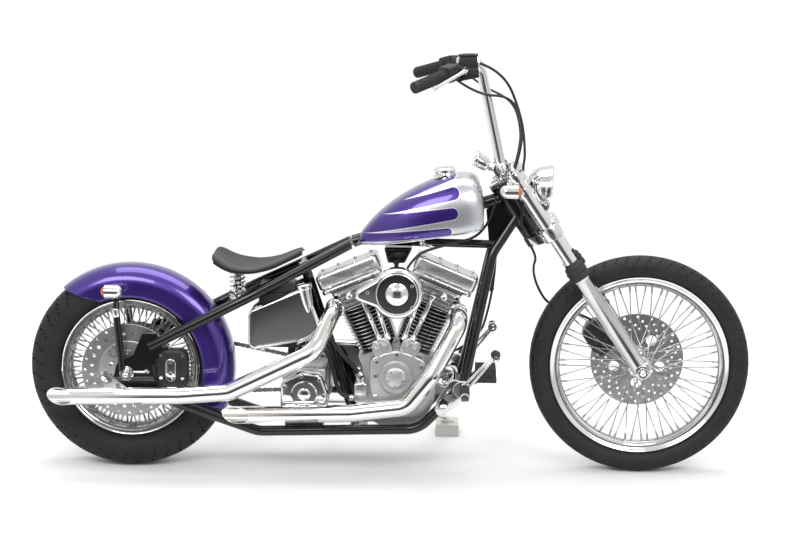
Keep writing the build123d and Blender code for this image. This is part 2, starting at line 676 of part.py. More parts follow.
with BuildPart() as gearbox:
    slab([(478, 180), (478, 322), (560, 336), (612, 330), (612, 180)], -90, 72)
    slab([(475, 200), (475, 291), (540, 330), (598, 322), (620, 262), (612, 196)], -140, -90)
    shaft = Vector(GEAR_SPROCKET[0], 0, GEAR_SPROCKET[1])
    bar(shaft + Vector(0, 72, 0), shaft + Vector(0, CHAIN_Y[1], 0), GEAR_SPROCKET[2])
    bar(shaft + Vector(0, 72, 0), shaft + Vector(0, 102, 0), 20)
    slab([(486, 148), (486, 182), (606, 182), (606, 148)], 9 - FRAME_HALF, FRAME_HALF - 9)
    add(frame_rails.part, mode=Mode.SUBTRACT)
    add(frame_seat_post.part, mode=Mode.SUBTRACT)

with BuildPart() as primary_cover:
    with BuildSketch(Plane.XZ.offset(-150)) as outline:
        with Locations((828, 272)):
            Circle(100)
        with Locations((560, 276)):
            Circle(104)
        with BuildLine():
            Polyline((560, 380), (828, 372), (828, 172), (560, 172), close=True)
        make_face()
    extrude(outline.sketch, amount=48)
    bar((828, CASE_HALF, 272), (828, 103, 272), 70)
    hose([(1128, 46, 865), (1138, 64, 690), (1124, 96, 520), (1080, 140, 356), (915, 140, 306)], HOSE_R)
    add(gearbox.part, mode=Mode.SUBTRACT)
    add(crankcase.part, mode=Mode.SUBTRACT)

# Tanks and boxes round the gearbox
OIL_SIDE = [(377, 414), (377, 512), (400, 526), (535, 584), (556, 572), (603, 448), (590, 436), (395, 398)]
with BuildPart() as oil_tank:
    slab(OIL_SIDE, -142, 142)
    slab([(402, 380), (402, 620), (640, 620), (640, 380)], -84, 84, mode=Mode.SUBTRACT)
    add(frame_stays.part, mode=Mode.SUBTRACT)
    add(frame_seat_post.part, mode=Mode.SUBTRACT)
with BuildPart() as battery:
    slab([(404, 420), (404, 580), (508, 580), (508, 420)], -76, 76)
    slab([(404, 395), (404, 420), (520, 420), (520, 395)], -84, 84)
    bar((500, 0, 326), (500, 0, 400), 12)
    add(gearbox.part, mode=Mode.SUBTRACT)
    add(frame_seat_post.part, mode=Mode.SUBTRACT)
    add(frame_stays.part, mode=Mode.SUBTRACT)
with BuildPart() as coil_bracket:
    slab([(786, 706), (875, 706), (851, 652), (799, 652)], -34, 34)
    add(frame_spine.part, mode=Mode.SUBTRACT)
with BuildPart() as oil_filter:
    bar((981, -100, 314), (981, -10, 314), 38)
    slab([(945, 290), (945, 330), (910, 330), (910, 290)], -72, -12)
    add(crankcase.part, mode=Mode.SUBTRACT)
    add(cam_cover.part, mode=Mode.SUBTRACT)
with BuildPart() as regulator:
    slab([(1072, 284), (1072, 326), (1140, 326), (1140, 284)], -58, 58)
    slab([(1042, 262), (1042, 282), (1080, 300), (1080, 284)], -58, 58)
    add(frame_cross_tubes.part, mode=Mode.SUBTRACT)
    add(frame_rails.part, mode=Mode.SUBTRACT)

# Exhausts
# route table: centre points from the open end to the port, bend radius
PIPES = [
    (
        [(-240, -190, 255), (170, -190, 263), (322, -190, 276), (583, -190, 405)]
        + [cylinder_point(-1, -64, -160, HEAD_BASE + 7), cylinder_point(-1, -58, -66, HEAD_BASE + 22)],
        75,
    ),
    (
        [(296, -172, 199), (691, -172, 211), (862, -172, 232), (935, -168, 325)]
        + [cylinder_point(1, 80, -146, HEAD_BASE + 1), cylinder_point(1, 58, -66, HEAD_BASE + 20)],
        62,
    ),
]
SLASH = 90.0
with BuildPart() as exhaust_pipes:
    for points, bend in PIPES:
        tip = Vector(*points[0])
        rod(points, PIPE_R, bend)
        bar(tip - Vector(1, 0, 0), tip + Vector(300, 0, 2.3), PIPE_R - PIPE_WALL, mode=Mode.SUBTRACT)
        with BuildSketch(Plane.XY.offset(tip.Z - 60)) as wedge:
            with BuildLine():
                Polyline(
                    (tip.X - 20, -260),
                    (tip.X - 20, tip.Y + PIPE_R),
                    (tip.X, tip.Y + PIPE_R),
                    (tip.X + SLASH, tip.Y - PIPE_R),
                    (tip.X + SLASH, -260),
                    close=True,
                )
            make_face()
        extrude(wedge.sketch, amount=120, mode=Mode.SUBTRACT)
    add(cylinder_heads.part, mode=Mode.SUBTRACT)
    add(cylinders.part, mode=Mode.SUBTRACT)

# Foot controls and side stand
FOOT_PLATE = [(957, 219), (969, 205), (1119, 307), (1079, 344), (1010, 299), (956, 261)]
with BuildPart() as foot_controls:
    for side in (-1, 1):
        slab(FOOT_PLATE, side * 184, side * 196)
        bar((1039, side * 196, 300), (1039, side * 330, 300), 15)
        bar((1100, side * 190, 320), (1131, side * 200, 405), 6)
        bar((1131, side * 196, 408), (1131, side * 268, 408), 11)
        bar((976, side * FRAME_HALF, 206), (976, side * 190, 240), 11)
    add(frame_rails.part, mode=Mode.SUBTRACT)
    add(exhaust_pipes.part, mode=Mode.SUBTRACT)

tilt = math.radians(LEAN)
GROUND = Plane((0, 0, 0), x_dir=(1, 0, 0), z_dir=(0, -math.sin(tilt), math.cos(tilt)))
foot_side = STAND_FOOT.Y / math.cos(tilt)
with BuildPart() as stand_block:
    with BuildSketch(GROUND) as base:
        with Locations((990, foot_side)):
            Rectangle(76, 90)
    extrude(base.sketch, amount=BLOCK_HEIGHT)
pad_plane = GROUND.offset(BLOCK_HEIGHT + BODY_GAP)
foot_top = pad_plane.from_local_coords(Vector(990, foot_side, 11))
with BuildPart() as side_stand:
    with BuildSketch(pad_plane) as pad:
        with Locations((990, foot_side)):
            RectangleRounded(46, 34, 8)
    extrude(pad.sketch, amount=10)
    bar(STAND_PIVOT, foot_top, 9)
    bar(STAND_PIVOT - STAND_AXIS * 11, STAND_PIVOT + STAND_AXIS * 11, 16)
    bar(
        STAND_PIVOT - STAND_AXIS * 12,
        STAND_PIVOT + STAND_AXIS * 12,
        STAND_PIN_R + BEARING_GAP,
        mode=Mode.SUBTRACT,
    )

# Fork
with BuildPart() as fork_tubes:
    for side in (-1, 1):
        foot = fork_point(0, side * FORK_HALF, SLIDER_TOP)
        bar(foot, foot + LEG * (UPPER_CLAMP[1] + 6 - SLIDER_TOP), FORK_TUBE_R)
with BuildPart() as fork_sliders:
    for side in (-1, 1):
        top = fork_point(0, side * FORK_HALF, SLIDER_TOP)
        bar(fork_point(0, side * FORK_HALF, -26), top, SLIDER_R)
        bar(top - LEG * 34, top, SLIDER_R + 4)
    bar(FRONT_AXLE - Vector(0, 130, 0), FRONT_AXLE + Vector(0, 130, 0), AXLE_R, mode=Mode.SUBTRACT)
with BuildPart() as triple_clamps:
    for low, high in (LOWER_CLAMP, UPPER_CLAMP):
        plane = Plane(fork_point(0, 0, low), x_dir=AHEAD, z_dir=LEG)
        with BuildSketch(plane) as clamp:
            with Locations((0, -FORK_HALF), (0, FORK_HALF)):
                Circle(SLIDER_R + 5)
            with Locations((-STEM_OFFSET, 0)):
                Circle(NECK_R + 3)
            with BuildLine():
                Polyline(
                    (-26, FORK_HALF + 20),
                    (24, FORK_HALF + 20),
                    (10, 0),
                    (24, -FORK_HALF - 20),
                    (-26, -FORK_HALF - 20),
                    (-STEM_OFFSET - 31, -14),
                    (-STEM_OFFSET - 31, 14),
                    close=True,
                )
            make_face()
        extrude(clamp.sketch, amount=high - low)
    bar(fork_point(-STEM_OFFSET, 0, LOWER_CLAMP[0]), fork_point(-STEM_OFFSET, 0, UPPER_CLAMP[1] + 8), STEM_R)
    add(fork_tubes.part, mode=Mode.SUBTRACT)
with BuildPart() as front_axle:
    bar(FRONT_AXLE - Vector(0, 132, 0), FRONT_AXLE + Vector(0, 132, 0), AXLE_R)
    for side in (-1, 1):
        bar(
            FRONT_AXLE + Vector(0, side * (HUBS["front"][1] + BODY_GAP), 0),
            FRONT_AXLE + Vector(0, side * (FORK_HALF - SLIDER_R + 4), 0),
            14,
        )
    add(fork_sliders.part, mode=Mode.SUBTRACT)
with BuildPart() as front_caliper:
    slab([(1410, 420), (1432, 462), (1474, 466), (1512, 392), (1470, 352), (1440, 372)], 34, 92)
    bar(
        FRONT_AXLE + Vector(0, FRONT_DISC_Y - DISC_CLEAR, 0),
        FRONT_AXLE + Vector(0, FRONT_DISC_Y + DISC_CLEAR, 0),
        DISC_R + DISC_SLOT + 2,
        mode=Mode.SUBTRACT,
    )
    add(fork_sliders.part, mode=Mode.SUBTRACT)

# Handlebar and controls
BAR_FOOT = (1143, 952)
BAR_BEND = Vector(1070, 105, 1284)
BAR_END = Vector(877, 290, 1216)
GRIP_LENGTH = 126.0
out = (BAR_END - BAR_BEND).normalized()
with BuildPart() as handlebar:
    right_bend = Vector(BAR_BEND.X, -BAR_BEND.Y, BAR_BEND.Z)
    right_out = Vector(out.X, -out.Y, out.Z)
    rod(
        [
            right_bend + right_out * 90,
            right_bend,
            (BAR_FOOT[0], -100, BAR_FOOT[1]),
            (BAR_FOOT[0], 100, BAR_FOOT[1]),
            BAR_BEND,
            BAR_BEND + out * 90,
        ],
        BAR_R,
        42,
    )
    bar(BAR_BEND + out * 89, BAR_END - out * 4, GRIP_BAR_R)
    bar(right_bend + right_out * 89, Vector(BAR_END.X, -BAR_END.Y, BAR_END.Z) - right_out * 4, GRIP_BAR_R)

with BuildPart() as risers:
    for side in (-1, 1):
        foot = fork_point(-34, side * 48, UPPER_CLAMP[1])
        bar(foot, (BAR_FOOT[0], side * 48, BAR_FOOT[1]), 17)
        bar((BAR_FOOT[0], side * 48 - 15, BAR_FOOT[1]), (BAR_FOOT[0], side * 48 + 15, BAR_FOOT[1]), 24)
    add(handlebar.part, mode=Mode.SUBTRACT)
    add(triple_clamps.part, mode=Mode.SUBTRACT)

with BuildPart() as grips:
    for side in (-1, 1):
        end = Vector(BAR_END.X, side * BAR_END.Y, BAR_END.Z)
        way = Vector(out.X, side * out.Y, out.Z)
        bar(end - way * GRIP_LENGTH, end, 18)
    add(handlebar.part, mode=Mode.SUBTRACT)

# brake hose from the master cylinder, past the fork's clamps, to the front caliper
BRAKE_HOSE = [
    (1056, -146, 1284), (1140, -140, 1262), (1200, -118, 1120), (1214, -88, 1000),
    fork_point(34, -58, 722), fork_point(-5, -62, 650), fork_point(-76, -64, 572), fork_point(-76, -60, 470),
    (1246, -4, 640), (1262, 50, 575), (1302, 66, 508), (1400, 72, 484), (1452, 70, 456),
]
# throttle and clutch cables from the hand controls to the upper clamp
CLAMP_TOP = fork_point(4, 0, UPPER_CLAMP[1])
THROTTLE = [(985, -188, 1246), (1060, -150, 1186), (1170, -96, 1180), (1206, -60, 1090), (1200, -36, 1000)]
CLUTCH = [(1006, 168, 1250), (1075, 150, 1190), (1180, 110, 1150), (1206, 70, 1060), (1198, 36, 995)]
MASTER_SIDE = [(1004, 1262), (1010, 1306), (1062, 1308), (1066, 1268)]
with BuildPart() as hand_controls:
    slab(MASTER_SIDE, -174, -128)
    hose(BRAKE_HOSE, HOSE_R)
    hose([*CLUTCH, CLAMP_TOP + Vector(0, 22, 0)], CABLE_R)
    for y in (0, -9):
        hose([(x, side + y, z) for x, side, z in THROTTLE] + [CLAMP_TOP + Vector(0, y - 22, 0)], CABLE_R)
    for side in (-1, 1):
        end = Vector(BAR_END.X, side * BAR_END.Y, BAR_END.Z)
        way = Vector(out.X, side * out.Y, out.Z)
        level = Vector(way.Y, -way.X, 0).normalized() * side
        housing = end - way * (GRIP_LENGTH + 1)
        bar(housing, housing - way * 42, 24)
        bar(housing - way * 44, housing - way * 66, 21)
        fore = Vector(way.Y * side, -way.X * side, 0).normalized()
        if fore.X < 0:
            fore = fore * -1
        pivot = housing - way * 55 + fore * 34
        bar(housing - way * 55, pivot + fore * 8, 13)
        bar(pivot, end - way * 20 + fore * 62 - Vector(0, 0, 6), 6)
    add(handlebar.part, mode=Mode.SUBTRACT)
    add(grips.part, mode=Mode.SUBTRACT)
    add(triple_clamps.part, mode=Mode.SUBTRACT)
    add(front_caliper.part, mode=Mode.SUBTRACT)

# Headlight, gauges and front signals
LAMP = Vector(1286, 0, 887)
LAMP_R = 73.0
LAMP_TILT = math.radians(7)
LAMP_AXIS = Vector(math.cos(LAMP_TILT), 0, -math.sin(LAMP_TILT))
LAMP_UP = Vector(math.sin(LAMP_TILT), 0, math.cos(LAMP_TILT))
LAMP_NECK = (-10, LAMP_R - 5)
with BuildPart() as headlight:
    with BuildSketch(Plane(LAMP, x_dir=LAMP_AXIS, z_dir=(0, -1, 0))):
        with BuildLine():
            Polyline((0, 0), (8, 0), (8, LAMP_R - 8), (12, LAMP_R - 4), (8, LAMP_R), (-6, LAMP_R), LAMP_NECK)
            cap(LAMP_NECK, (-66, 0))
            Line((-66, 0), (0, 0))
        make_face()
    revolve(axis=Axis(LAMP, LAMP_AXIS))
    bar(LAMP - LAMP_AXIS * 30 - LAMP_UP * 50, fork_point(16, 0, LOWER_CLAMP[1] + 2), 9)
    add(triple_clamps.part, mode=Mode.SUBTRACT)
with BuildPart() as headlight_lens:
    with BuildSketch(Plane(LAMP, x_dir=LAMP_AXIS, z_dir=(0, -1, 0))):
        with BuildLine():
            Line((8, 0), (8, LAMP_R - 8))
            cap((8, LAMP_R - 8), (18, 0))
            Line((18, 0), (8, 0))
        make_face()
    revolve(axis=Axis(LAMP, LAMP_AXIS))
with BuildPart() as gauges:
    for side in (-1, 1):
        bar((1104, side * 28, 957), (1064, side * 28, 980), 23)
        bar((1098, side * 28, 960), (1138, side * 28, 938), 7)
    bar((1108, -28, 948), (1108, 28, 948), 5)
    add(risers.part, mode=Mode.SUBTRACT)
    add(handlebar.part, mode=Mode.SUBTRACT)
    add(triple_clamps.part, mode=Mode.SUBTRACT)
with BuildPart() as front_signals:
    for side in (-1, 1):
        bar(fork_point(0, side * (FORK_HALF + 15), 660), (1172, side * 145, 892), 7)
        bar(fork_point(0, side * FORK_HALF, 648), fork_point(0, side * FORK_HALF, 672), FORK_TUBE_R + 5)
    add(signal_housings["front"].part)
    add(fork_tubes.part, mode=Mode.SUBTRACT)

# Lean the whole machine and write the pieces
NODES = {
    "frame_spine": frame_spine,
    "frame_rails": frame_rails,
    "frame_stays": frame_stays,
    "frame_seat_post": frame_seat_post,
    "frame_cross_tubes": frame_cross_tubes,
    "rear_tyre": tyres["rear"],
    "rear_rim": rims["rear"],
    "rear_hub": hubs["rear"],
    "rear_spokes": spokes["rear"],
    "rear_disc": discs["rear"],
    "rear_sprocket": rear_sprocket,
    "front_tyre": tyres["front"],
    "front_rim": rims["front"],
    "front_hub": hubs["front"],
    "front_spokes": spokes["front"],
    "front_disc": discs["front"],
    "rear_axle": rear_axle,
    "drive_chain": drive_chain,
    "rear_caliper": rear_caliper,
    "rear_fender": rear_fender,
    "fender_struts": fender_struts,
    "rear_signals": signal_housings["rear"],
    "rear_signal_lenses": signal_lenses["rear"],
    "fuel_tank": fuel_tank,
    "tank_cap": tank_cap,
    "seat": seat,
    "seat_springs": seat_springs,
    "crankcase": crankcase,
    "cylinders": cylinders,
    "cylinder_heads": cylinder_heads,
    "rocker_covers": rocker_covers,
    "cam_cover": cam_cover,
    "push_rod_tubes": push_rod_tubes,
    "air_cleaner": air_cleaner,
    "carburettor": carburettor,
    "gearbox": gearbox,
    "primary_cover": primary_cover,
    "oil_tank": oil_tank,
    "battery": battery,
    "coil_bracket": coil_bracket,
    "oil_filter": oil_filter,
    "regulator": regulator,
    "exhaust_pipes": exhaust_pipes,
    "foot_controls": foot_controls,
    "side_stand": side_stand,
    "stand_block": stand_block,
    "fork_tubes": fork_tubes,
    "fork_sliders": fork_sliders,
    "triple_clamps": triple_clamps,
    "front_axle": front_axle,
    "front_caliper": front_caliper,
    "handlebar": handlebar,
    "risers": risers,
    "grips": grips,
    "hand_controls": hand_controls,
    "headlight": headlight,
    "headlight_lens": headlight_lens,
    "gauges": gauges,
    "front_signals": front_signals,
    "front_signal_lenses": signal_lenses["front"],
}
LEANED = Location((0, 0, 0), (-LEAN, 0, 0))
for piece in NODES.values():
    piece.part.move(LEANED)
boxes = [piece.part.bounding_box() for piece in NODES.values()]
middle_x = (min(box.min.X for box in boxes) + max(box.max.X for box in boxes)) / 2
middle_y = (min(box.min.Y for box in boxes) + max(box.max.Y for box in boxes)) / 2
lowest = min(box.min.Z for box in boxes)
for node, piece in NODES.items():
    piece.part.move(Location((-middle_x, -middle_y, -lowest)))
    piece.part.label = node
    export_step(piece.part, f"parts/{node}.step")
print("moved by", -middle_x, -middle_y, -lowest)
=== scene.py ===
"""Chopper motorcycle: the finish and the fine detail of every piece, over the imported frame.

New pieces are modelled upright in the machine's own millimetres (X forward from the rear axle, Y to the
left, Z up from the ground), and each finished mesh is then placed in the frame's leaned metres.
"""
import json
import logging
import math
from collections.abc import Callable
from dataclasses import dataclass
from enum import Enum

import bmesh
import bpy
from mathutils import Matrix, Vector


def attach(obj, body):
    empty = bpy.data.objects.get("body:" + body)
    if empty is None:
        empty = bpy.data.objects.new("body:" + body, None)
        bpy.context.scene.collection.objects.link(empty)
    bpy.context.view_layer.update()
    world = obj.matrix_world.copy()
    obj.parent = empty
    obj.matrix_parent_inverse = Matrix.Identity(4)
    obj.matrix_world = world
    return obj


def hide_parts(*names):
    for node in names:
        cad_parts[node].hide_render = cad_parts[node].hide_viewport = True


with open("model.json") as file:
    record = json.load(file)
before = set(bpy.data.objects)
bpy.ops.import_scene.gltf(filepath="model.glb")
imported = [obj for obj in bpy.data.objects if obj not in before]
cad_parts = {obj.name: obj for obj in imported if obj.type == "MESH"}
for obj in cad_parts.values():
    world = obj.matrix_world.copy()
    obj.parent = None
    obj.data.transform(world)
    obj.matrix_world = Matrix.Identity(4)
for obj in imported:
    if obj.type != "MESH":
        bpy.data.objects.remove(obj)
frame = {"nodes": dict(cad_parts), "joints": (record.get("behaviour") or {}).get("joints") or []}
Piece = bpy.types.Object
Socket = bpy.types.NodeSocket
Place = Vector | tuple[float, float, float]
Profile = list[tuple[float, float]]
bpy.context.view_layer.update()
LOG = logging.getLogger("chopper")

REAR_AXLE = Vector((0, 0, 315))
FRONT_AXLE = Vector((1583, 0, 341))
RAKE = math.radians(34)
LEG = Vector((-math.sin(RAKE), 0, math.cos(RAKE)))
AHEAD = Vector((math.cos(RAKE), 0, math.sin(RAKE)))
ACROSS = Vector((0, 1, 0))
MM = 0.001
CRANK = Vector((828, 0, 262))
BANK_ANGLE = math.radians(22.5)


class Body(Enum):
    """The rigid bodies that a piece can ride on."""

    CHASSIS = "chassis"
    REAR_WHEEL = "rear_wheel"
    STEERING = "steering"
    FRONT_WHEEL = "front_wheel"
    SIDE_STAND = "side_stand"


def machine_frame() -> Matrix:
    """Works out where the upright machine stands in the frame from the rear wheel's joint.

    Returns:
        The transform from machine millimetres to the frame's leaned metres.
    """
    joint = next(j for j in frame["joints"] if j["name"] == "rear_wheel_spin")
    axis = Vector(joint["axis"])
    turn = Matrix.Rotation(math.atan2(axis.z, axis.y), 4, "X")
    shift = Vector(joint["pos_m"]) - turn @ (REAR_AXLE * MM)
    return Matrix.Translation(shift) @ turn @ Matrix.Scale(MM, 4)


MACHINE = machine_frame()


def fork_point(ahead: float, side: float, along: float) -> Vector:
    """Gives the point ahead of, beside and up the fork line from the front axle."""
    return FRONT_AXLE + AHEAD * ahead + ACROSS * side + LEG * along


def cylinder_point(bank: int, across: float, side: float, along: float) -> Vector:
    """Gives a point on a cylinder bank, -1 for the rear one and +1 for the front one.

    Args:
        bank: Which bank.
        across: Distance forward across the bank.
        side: Distance to the left.
        along: Height above the crank along the bank.

    Returns:
        The point in machine millimetres.
    """
    lean = BANK_ANGLE * bank
    x = CRANK.x + along * math.sin(lean) + across * math.cos(lean)
    z = CRANK.z + along * math.cos(lean) - across * math.sin(lean)
    return Vector((x, side, z))


class Bench:
    """The modelling operators, wrapped so that each works on one piece alone."""

    @staticmethod
    def take(obj: Piece) -> None:
        """Selects one object and nothing else.

        Args:
            obj: The object.
        """
        bpy.ops.object.select_all(action="DESELECT")
        obj.select_set(True)
        bpy.context.view_layer.objects.active = obj

    @staticmethod
    def line(points: list[Vector], closed: bool = False) -> Piece:
        """Draws a chain of edges by extruding one point along a list of places.

        Args:
            points: The places in order.
            closed: Joins the last point to the first.

        Returns:
            The object, in edit mode, with the whole chain selected.
        """
        bpy.ops.object.select_all(action="DESELECT")
        bpy.ops.mesh.primitive_plane_add(size=1, location=(0, 0, 0))
        obj = bpy.context.object
        bpy.ops.object.mode_set(mode="EDIT")
        bpy.ops.mesh.merge(type="CENTER")
        bpy.ops.transform.translate(value=points[0])
        for here, there in zip(points, points[1:]):
            bpy.ops.mesh.extrude_region_move(TRANSFORM_OT_translate={"value": there - here})
        bpy.ops.mesh.select_all(action="SELECT")
        if closed:
            mesh = bmesh.from_edit_mesh(obj.data)
            mesh.verts.ensure_lookup_table()
            ends = [v for v in mesh.verts if len(v.link_edges) == 1]
            mesh.edges.new(ends)
            bmesh.update_edit_mesh(obj.data)
            bpy.ops.mesh.select_all(action="SELECT")
        return obj

    @staticmethod
    def close(merge: float = 0.01) -> None:
        """Merges doubles, turns the faces outward and leaves edit mode.

        Args:
            merge: Points nearer than this are merged.
        """
        bpy.ops.mesh.select_all(action="SELECT")
        bpy.ops.mesh.remove_doubles(threshold=merge)
        bpy.ops.mesh.normals_make_consistent(inside=False)
        bpy.ops.object.mode_set(mode="OBJECT")

    @classmethod
    def lathe(
        cls,
        profile: Profile,
        centre: Place,
        axis: Place,
        steps: int = 48,
        closed: bool = False,
    ) -> Piece:
        """Turns a profile about an axis.

        Args:
            profile: Pairs of distance along the axis and radius.
            centre: A point on the axis.
            axis: The axis direction.
            steps: Faces round the turn.
            closed: The profile is a loop that stays off the axis.

        Returns:
            The turned mesh.
        """
        axis = Vector(axis).normalized()
        out = axis.orthogonal().normalized()
        points = [Vector(centre) + axis * along + out * radius for along, radius in profile]
        obj = cls.line(points, closed)
        bpy.ops.mesh.spin(steps=steps, angle=math.tau, center=centre, axis=axis)
        cls.close()
        return obj

    @classmethod
    def rod(cls, start: Place, end: Place, radius: float, steps: int = 24, edge: float = 1.0) -> Piece:
        """Turns a straight round bar with softened ends.

        Args:
            start: The middle of one end.
            end: The middle of the other end.
            radius: The bar's radius.
            steps: Faces round the bar.
            edge: The size of the softened edge.

        Returns:
            The bar.
        """
        run = Vector(end) - Vector(start)
        length = run.length
        edge = min(edge, radius * 0.45, length * 0.4)
        soft = edge * 0.3
        profile = [(0, 0), (0, radius - edge), (soft, radius - soft), (edge, radius)]
        profile += [
            (length - edge, radius), (length - soft, radius - soft), (length, radius - edge), (length, 0)
        ]
        return cls.lathe(profile, start, run, steps)

    @classmethod
    def plate(
        cls,
        outline: list[Vector],
        depth: Vector,
        bevel: float = 0.0,
        segments: int = 2,
    ) -> Piece:
        """Extrudes a flat outline into a plate.

        Args:
            outline: The corners in order.
            depth: The way and distance of the extrusion.
            bevel: The size of the softened edges.
            segments: Steps in each softened edge.

        Returns:
            The plate.
        """
        obj = cls.line([Vector(p) for p in outline], closed=True)
        bpy.ops.mesh.edge_face_add()
        bpy.ops.mesh.extrude_region_move(TRANSFORM_OT_translate={"value": depth})
        cls.close()
        if bevel:
            cls.soften(obj, bevel, segments)
        return obj

    @classmethod
    def slab(
        cls,
        outline: Profile,
        near: float,
        far: float,
        bevel: float = 0.0,
        segments: int = 2,
    ) -> Piece:
        """Extrudes a side-view outline of x and z from one y to another.

        Args:
            outline: The corners as x and z.
            near: The y of the first face.
            far: The y of the second face.
            bevel: The size of the softened edges.
            segments: Steps in each softened edge.

        Returns:
            The slab.
        """
        points = [Vector((x, near, z)) for x, z in outline]
        return cls.plate(points, Vector((0, far - near, 0)), bevel, segments)

    @classmethod
    def modify(cls, obj: Piece, kind: str, **settings: object) -> None:
        """Adds a modifier with its settings and applies it.

        Args:
            obj: The piece.
            kind: The modifier's type.
            settings: Its properties by name.
        """
        modifier = obj.modifiers.new(kind.lower(), kind)
        for key, value in settings.items():
            setattr(modifier, key, value)
        cls.take(obj)
        bpy.ops.object.modifier_apply(modifier=modifier.name)

    @classmethod
    def soften(cls, obj: Piece, width: float, segments: int = 2, angle: float = 35) -> None:
        """Bevels the sharp edges of a piece.

        Args:
            obj: The piece.
            width: The size of the bevel.
            segments: Its steps.
            angle: Edges sharper than this many degrees are bevelled.
        """
        limit = math.radians(angle)
        cls.modify(obj, "BEVEL", width=width, segments=segments, limit_method="ANGLE", angle_limit=limit)

    @classmethod
    def cut(cls, obj: Piece, tool: Piece) -> None:
        """Cuts one piece with another and clears the cutter away.

        Args:
            obj: The piece.
            tool: The cutter, which is used up.
        """
        cls.modify(obj, "BOOLEAN", operation="DIFFERENCE", object=tool)
        cls.take(tool)
        bpy.ops.object.delete()

    @classmethod
    def loft(cls, rings: list[list[Vector]], capped: bool = True) -> Piece:
        """Extrudes a first ring through a row of rings of as many points.

        Args:
            rings: The rings, each a list of places in the same order.
            capped: Closes both ends with a face.

        Returns:
            The lofted mesh.
        """
        obj = cls.line(rings[0], closed=True)
        mesh = bmesh.from_edit_mesh(obj.data)
        mesh.verts.ensure_lookup_table()
        row = []
        for place in rings[0]:
            row.append(min(mesh.verts, key=lambda v: (v.co - place).length_squared))
        first = list(row)
        for ring in rings[1:]:
            edges = [mesh.edges.get((a, b)) for a, b in zip(row, row[1:] + row[:1])]
            result = bmesh.ops.extrude_edge_only(mesh, edges=edges)
            fresh = [item for item in result["geom"] if isinstance(item, bmesh.types.BMVert)]
            lookup = {}
            for vert in fresh:
                for edge in vert.link_edges:
                    other = edge.other_vert(vert)
                    if other not in fresh:
                        lookup[other] = vert
            row = [lookup[vert] for vert in row]
            for vert, place in zip(row, ring):
                vert.co = place
        if capped:
            mesh.faces.new(first)
            mesh.faces.new(row)
        bmesh.update_edit_mesh(obj.data)
        cls.close()
        return obj

    @classmethod
    def pipe(
        cls,
        points: list[Vector],
        radius: float,
        bend: float = 30.0,
        sides: int = 24,
    ) -> Piece:
        """Bends a round tube through a route with rounded corners.

        Args:
            points: The route's corners.
            radius: The tube's radius.
            bend: The bend's radius at each corner.
            sides: Faces round the tube.

        Returns:
            The tube as a mesh.
        """
        return cls.wire(cls.rounded([Vector(p) for p in points], bend), radius, sides)

    @classmethod
    def wire(cls, route: list[Vector], radius: float, sides: int = 12) -> Piece:
        """Draws a round wire along a row of places.

        Args:
            route: The places.
            radius: The wire's radius.
            sides: Faces round the wire.

        Returns:
            The wire as a mesh.
        """
        bpy.ops.object.select_all(action="DESELECT")
        bpy.ops.curve.primitive_nurbs_path_add(location=(0, 0, 0))
        obj = bpy.context.object
        curve = obj.data
        curve.splines.clear()
        spline = curve.splines.new("POLY")
        spline.points.add(len(route) - 1)
        for point, place in zip(spline.points, route):
            point.co = (*place, 1)
        return cls.skin(obj, radius, sides)

    @classmethod
    def cable(cls, points: list[Vector], radius: float) -> Piece:
        """Draws a cable along a smooth line between its route's points.

        Args:
            points: The route's points.
            radius: The cable's radius.

        Returns:
            The cable as a mesh.
        """
        bpy.ops.object.select_all(action="DESELECT")
        bpy.ops.curve.primitive_nurbs_path_add(location=(0, 0, 0))
        obj = bpy.context.object
        curve = obj.data
        curve.splines.clear()
        spline = curve.splines.new("NURBS")
        spline.points.add(len(points) - 1)
        for point, place in zip(spline.points, points):
            point.co = (*place, 1)
        spline.order_u = 3
        spline.use_endpoint_u = True
        curve.resolution_u = 10
        return cls.skin(obj, radius, 12)

    @classmethod
    def skin(cls, obj: Piece, radius: float, sides: int) -> Piece:
        """Gives a curve its thickness and makes it a mesh.

        Args:
            obj: The curve.
            radius: Its thickness from the middle.
            sides: Faces round it, about.

        Returns:
            The curve as a mesh.
        """
        obj.data.bevel_depth = radius
        obj.data.bevel_resolution = max(1, sides // 4 - 1)
        obj.data.use_fill_caps = True
        bpy.ops.object.convert(target="MESH")
        bpy.ops.object.mode_set(mode="EDIT")
        cls.close()
        return obj

    @staticmethod
    def rounded(points: list[Vector], bend: float) -> list[Vector]:
        """Rounds the corners of a route with arcs.

        Args:
            points: The route's corners.
            bend: The arcs' radius, made smaller where the runs are short.

        Returns:
            The rounded route.
        """
        route = [points[0]]
        for before, here, after in zip(points, points[1:], points[2:]):
            back = (before - here).normalized()
            onward = (after - here).normalized()
            half = back.angle(onward) / 2
            reach = bend / math.tan(half)
            reach = min(reach, (before - here).length * 0.48, (after - here).length * 0.48)
            radius = reach * math.tan(half)
            centre = here + (back + onward).normalized() * (radius / math.sin(half))
            start = here + back * reach - centre
            end = here + onward * reach - centre
            turn = start.angle(end)
            steps = max(3, int(math.degrees(turn) / 5))
            for step in range(steps + 1):
                share = step / steps
                arm = start * math.sin((1 - share) * turn) + end * math.sin(share * turn)
                route.append(centre + arm / math.sin(turn))
        route.append(points[-1])
        return route

    @classmethod
    def join(cls, pieces: list[Piece]) -> Piece:
        """Joins meshes into the first one.

        Args:
            pieces: The meshes.

        Returns:
            The joined mesh.
        """
        bpy.ops.object.select_all(action="DESELECT")
        for piece in pieces:
            piece.select_set(True)
        bpy.context.view_layer.objects.active = pieces[0]
        if len(pieces) > 1:
            bpy.ops.object.join()
        return pieces[0]

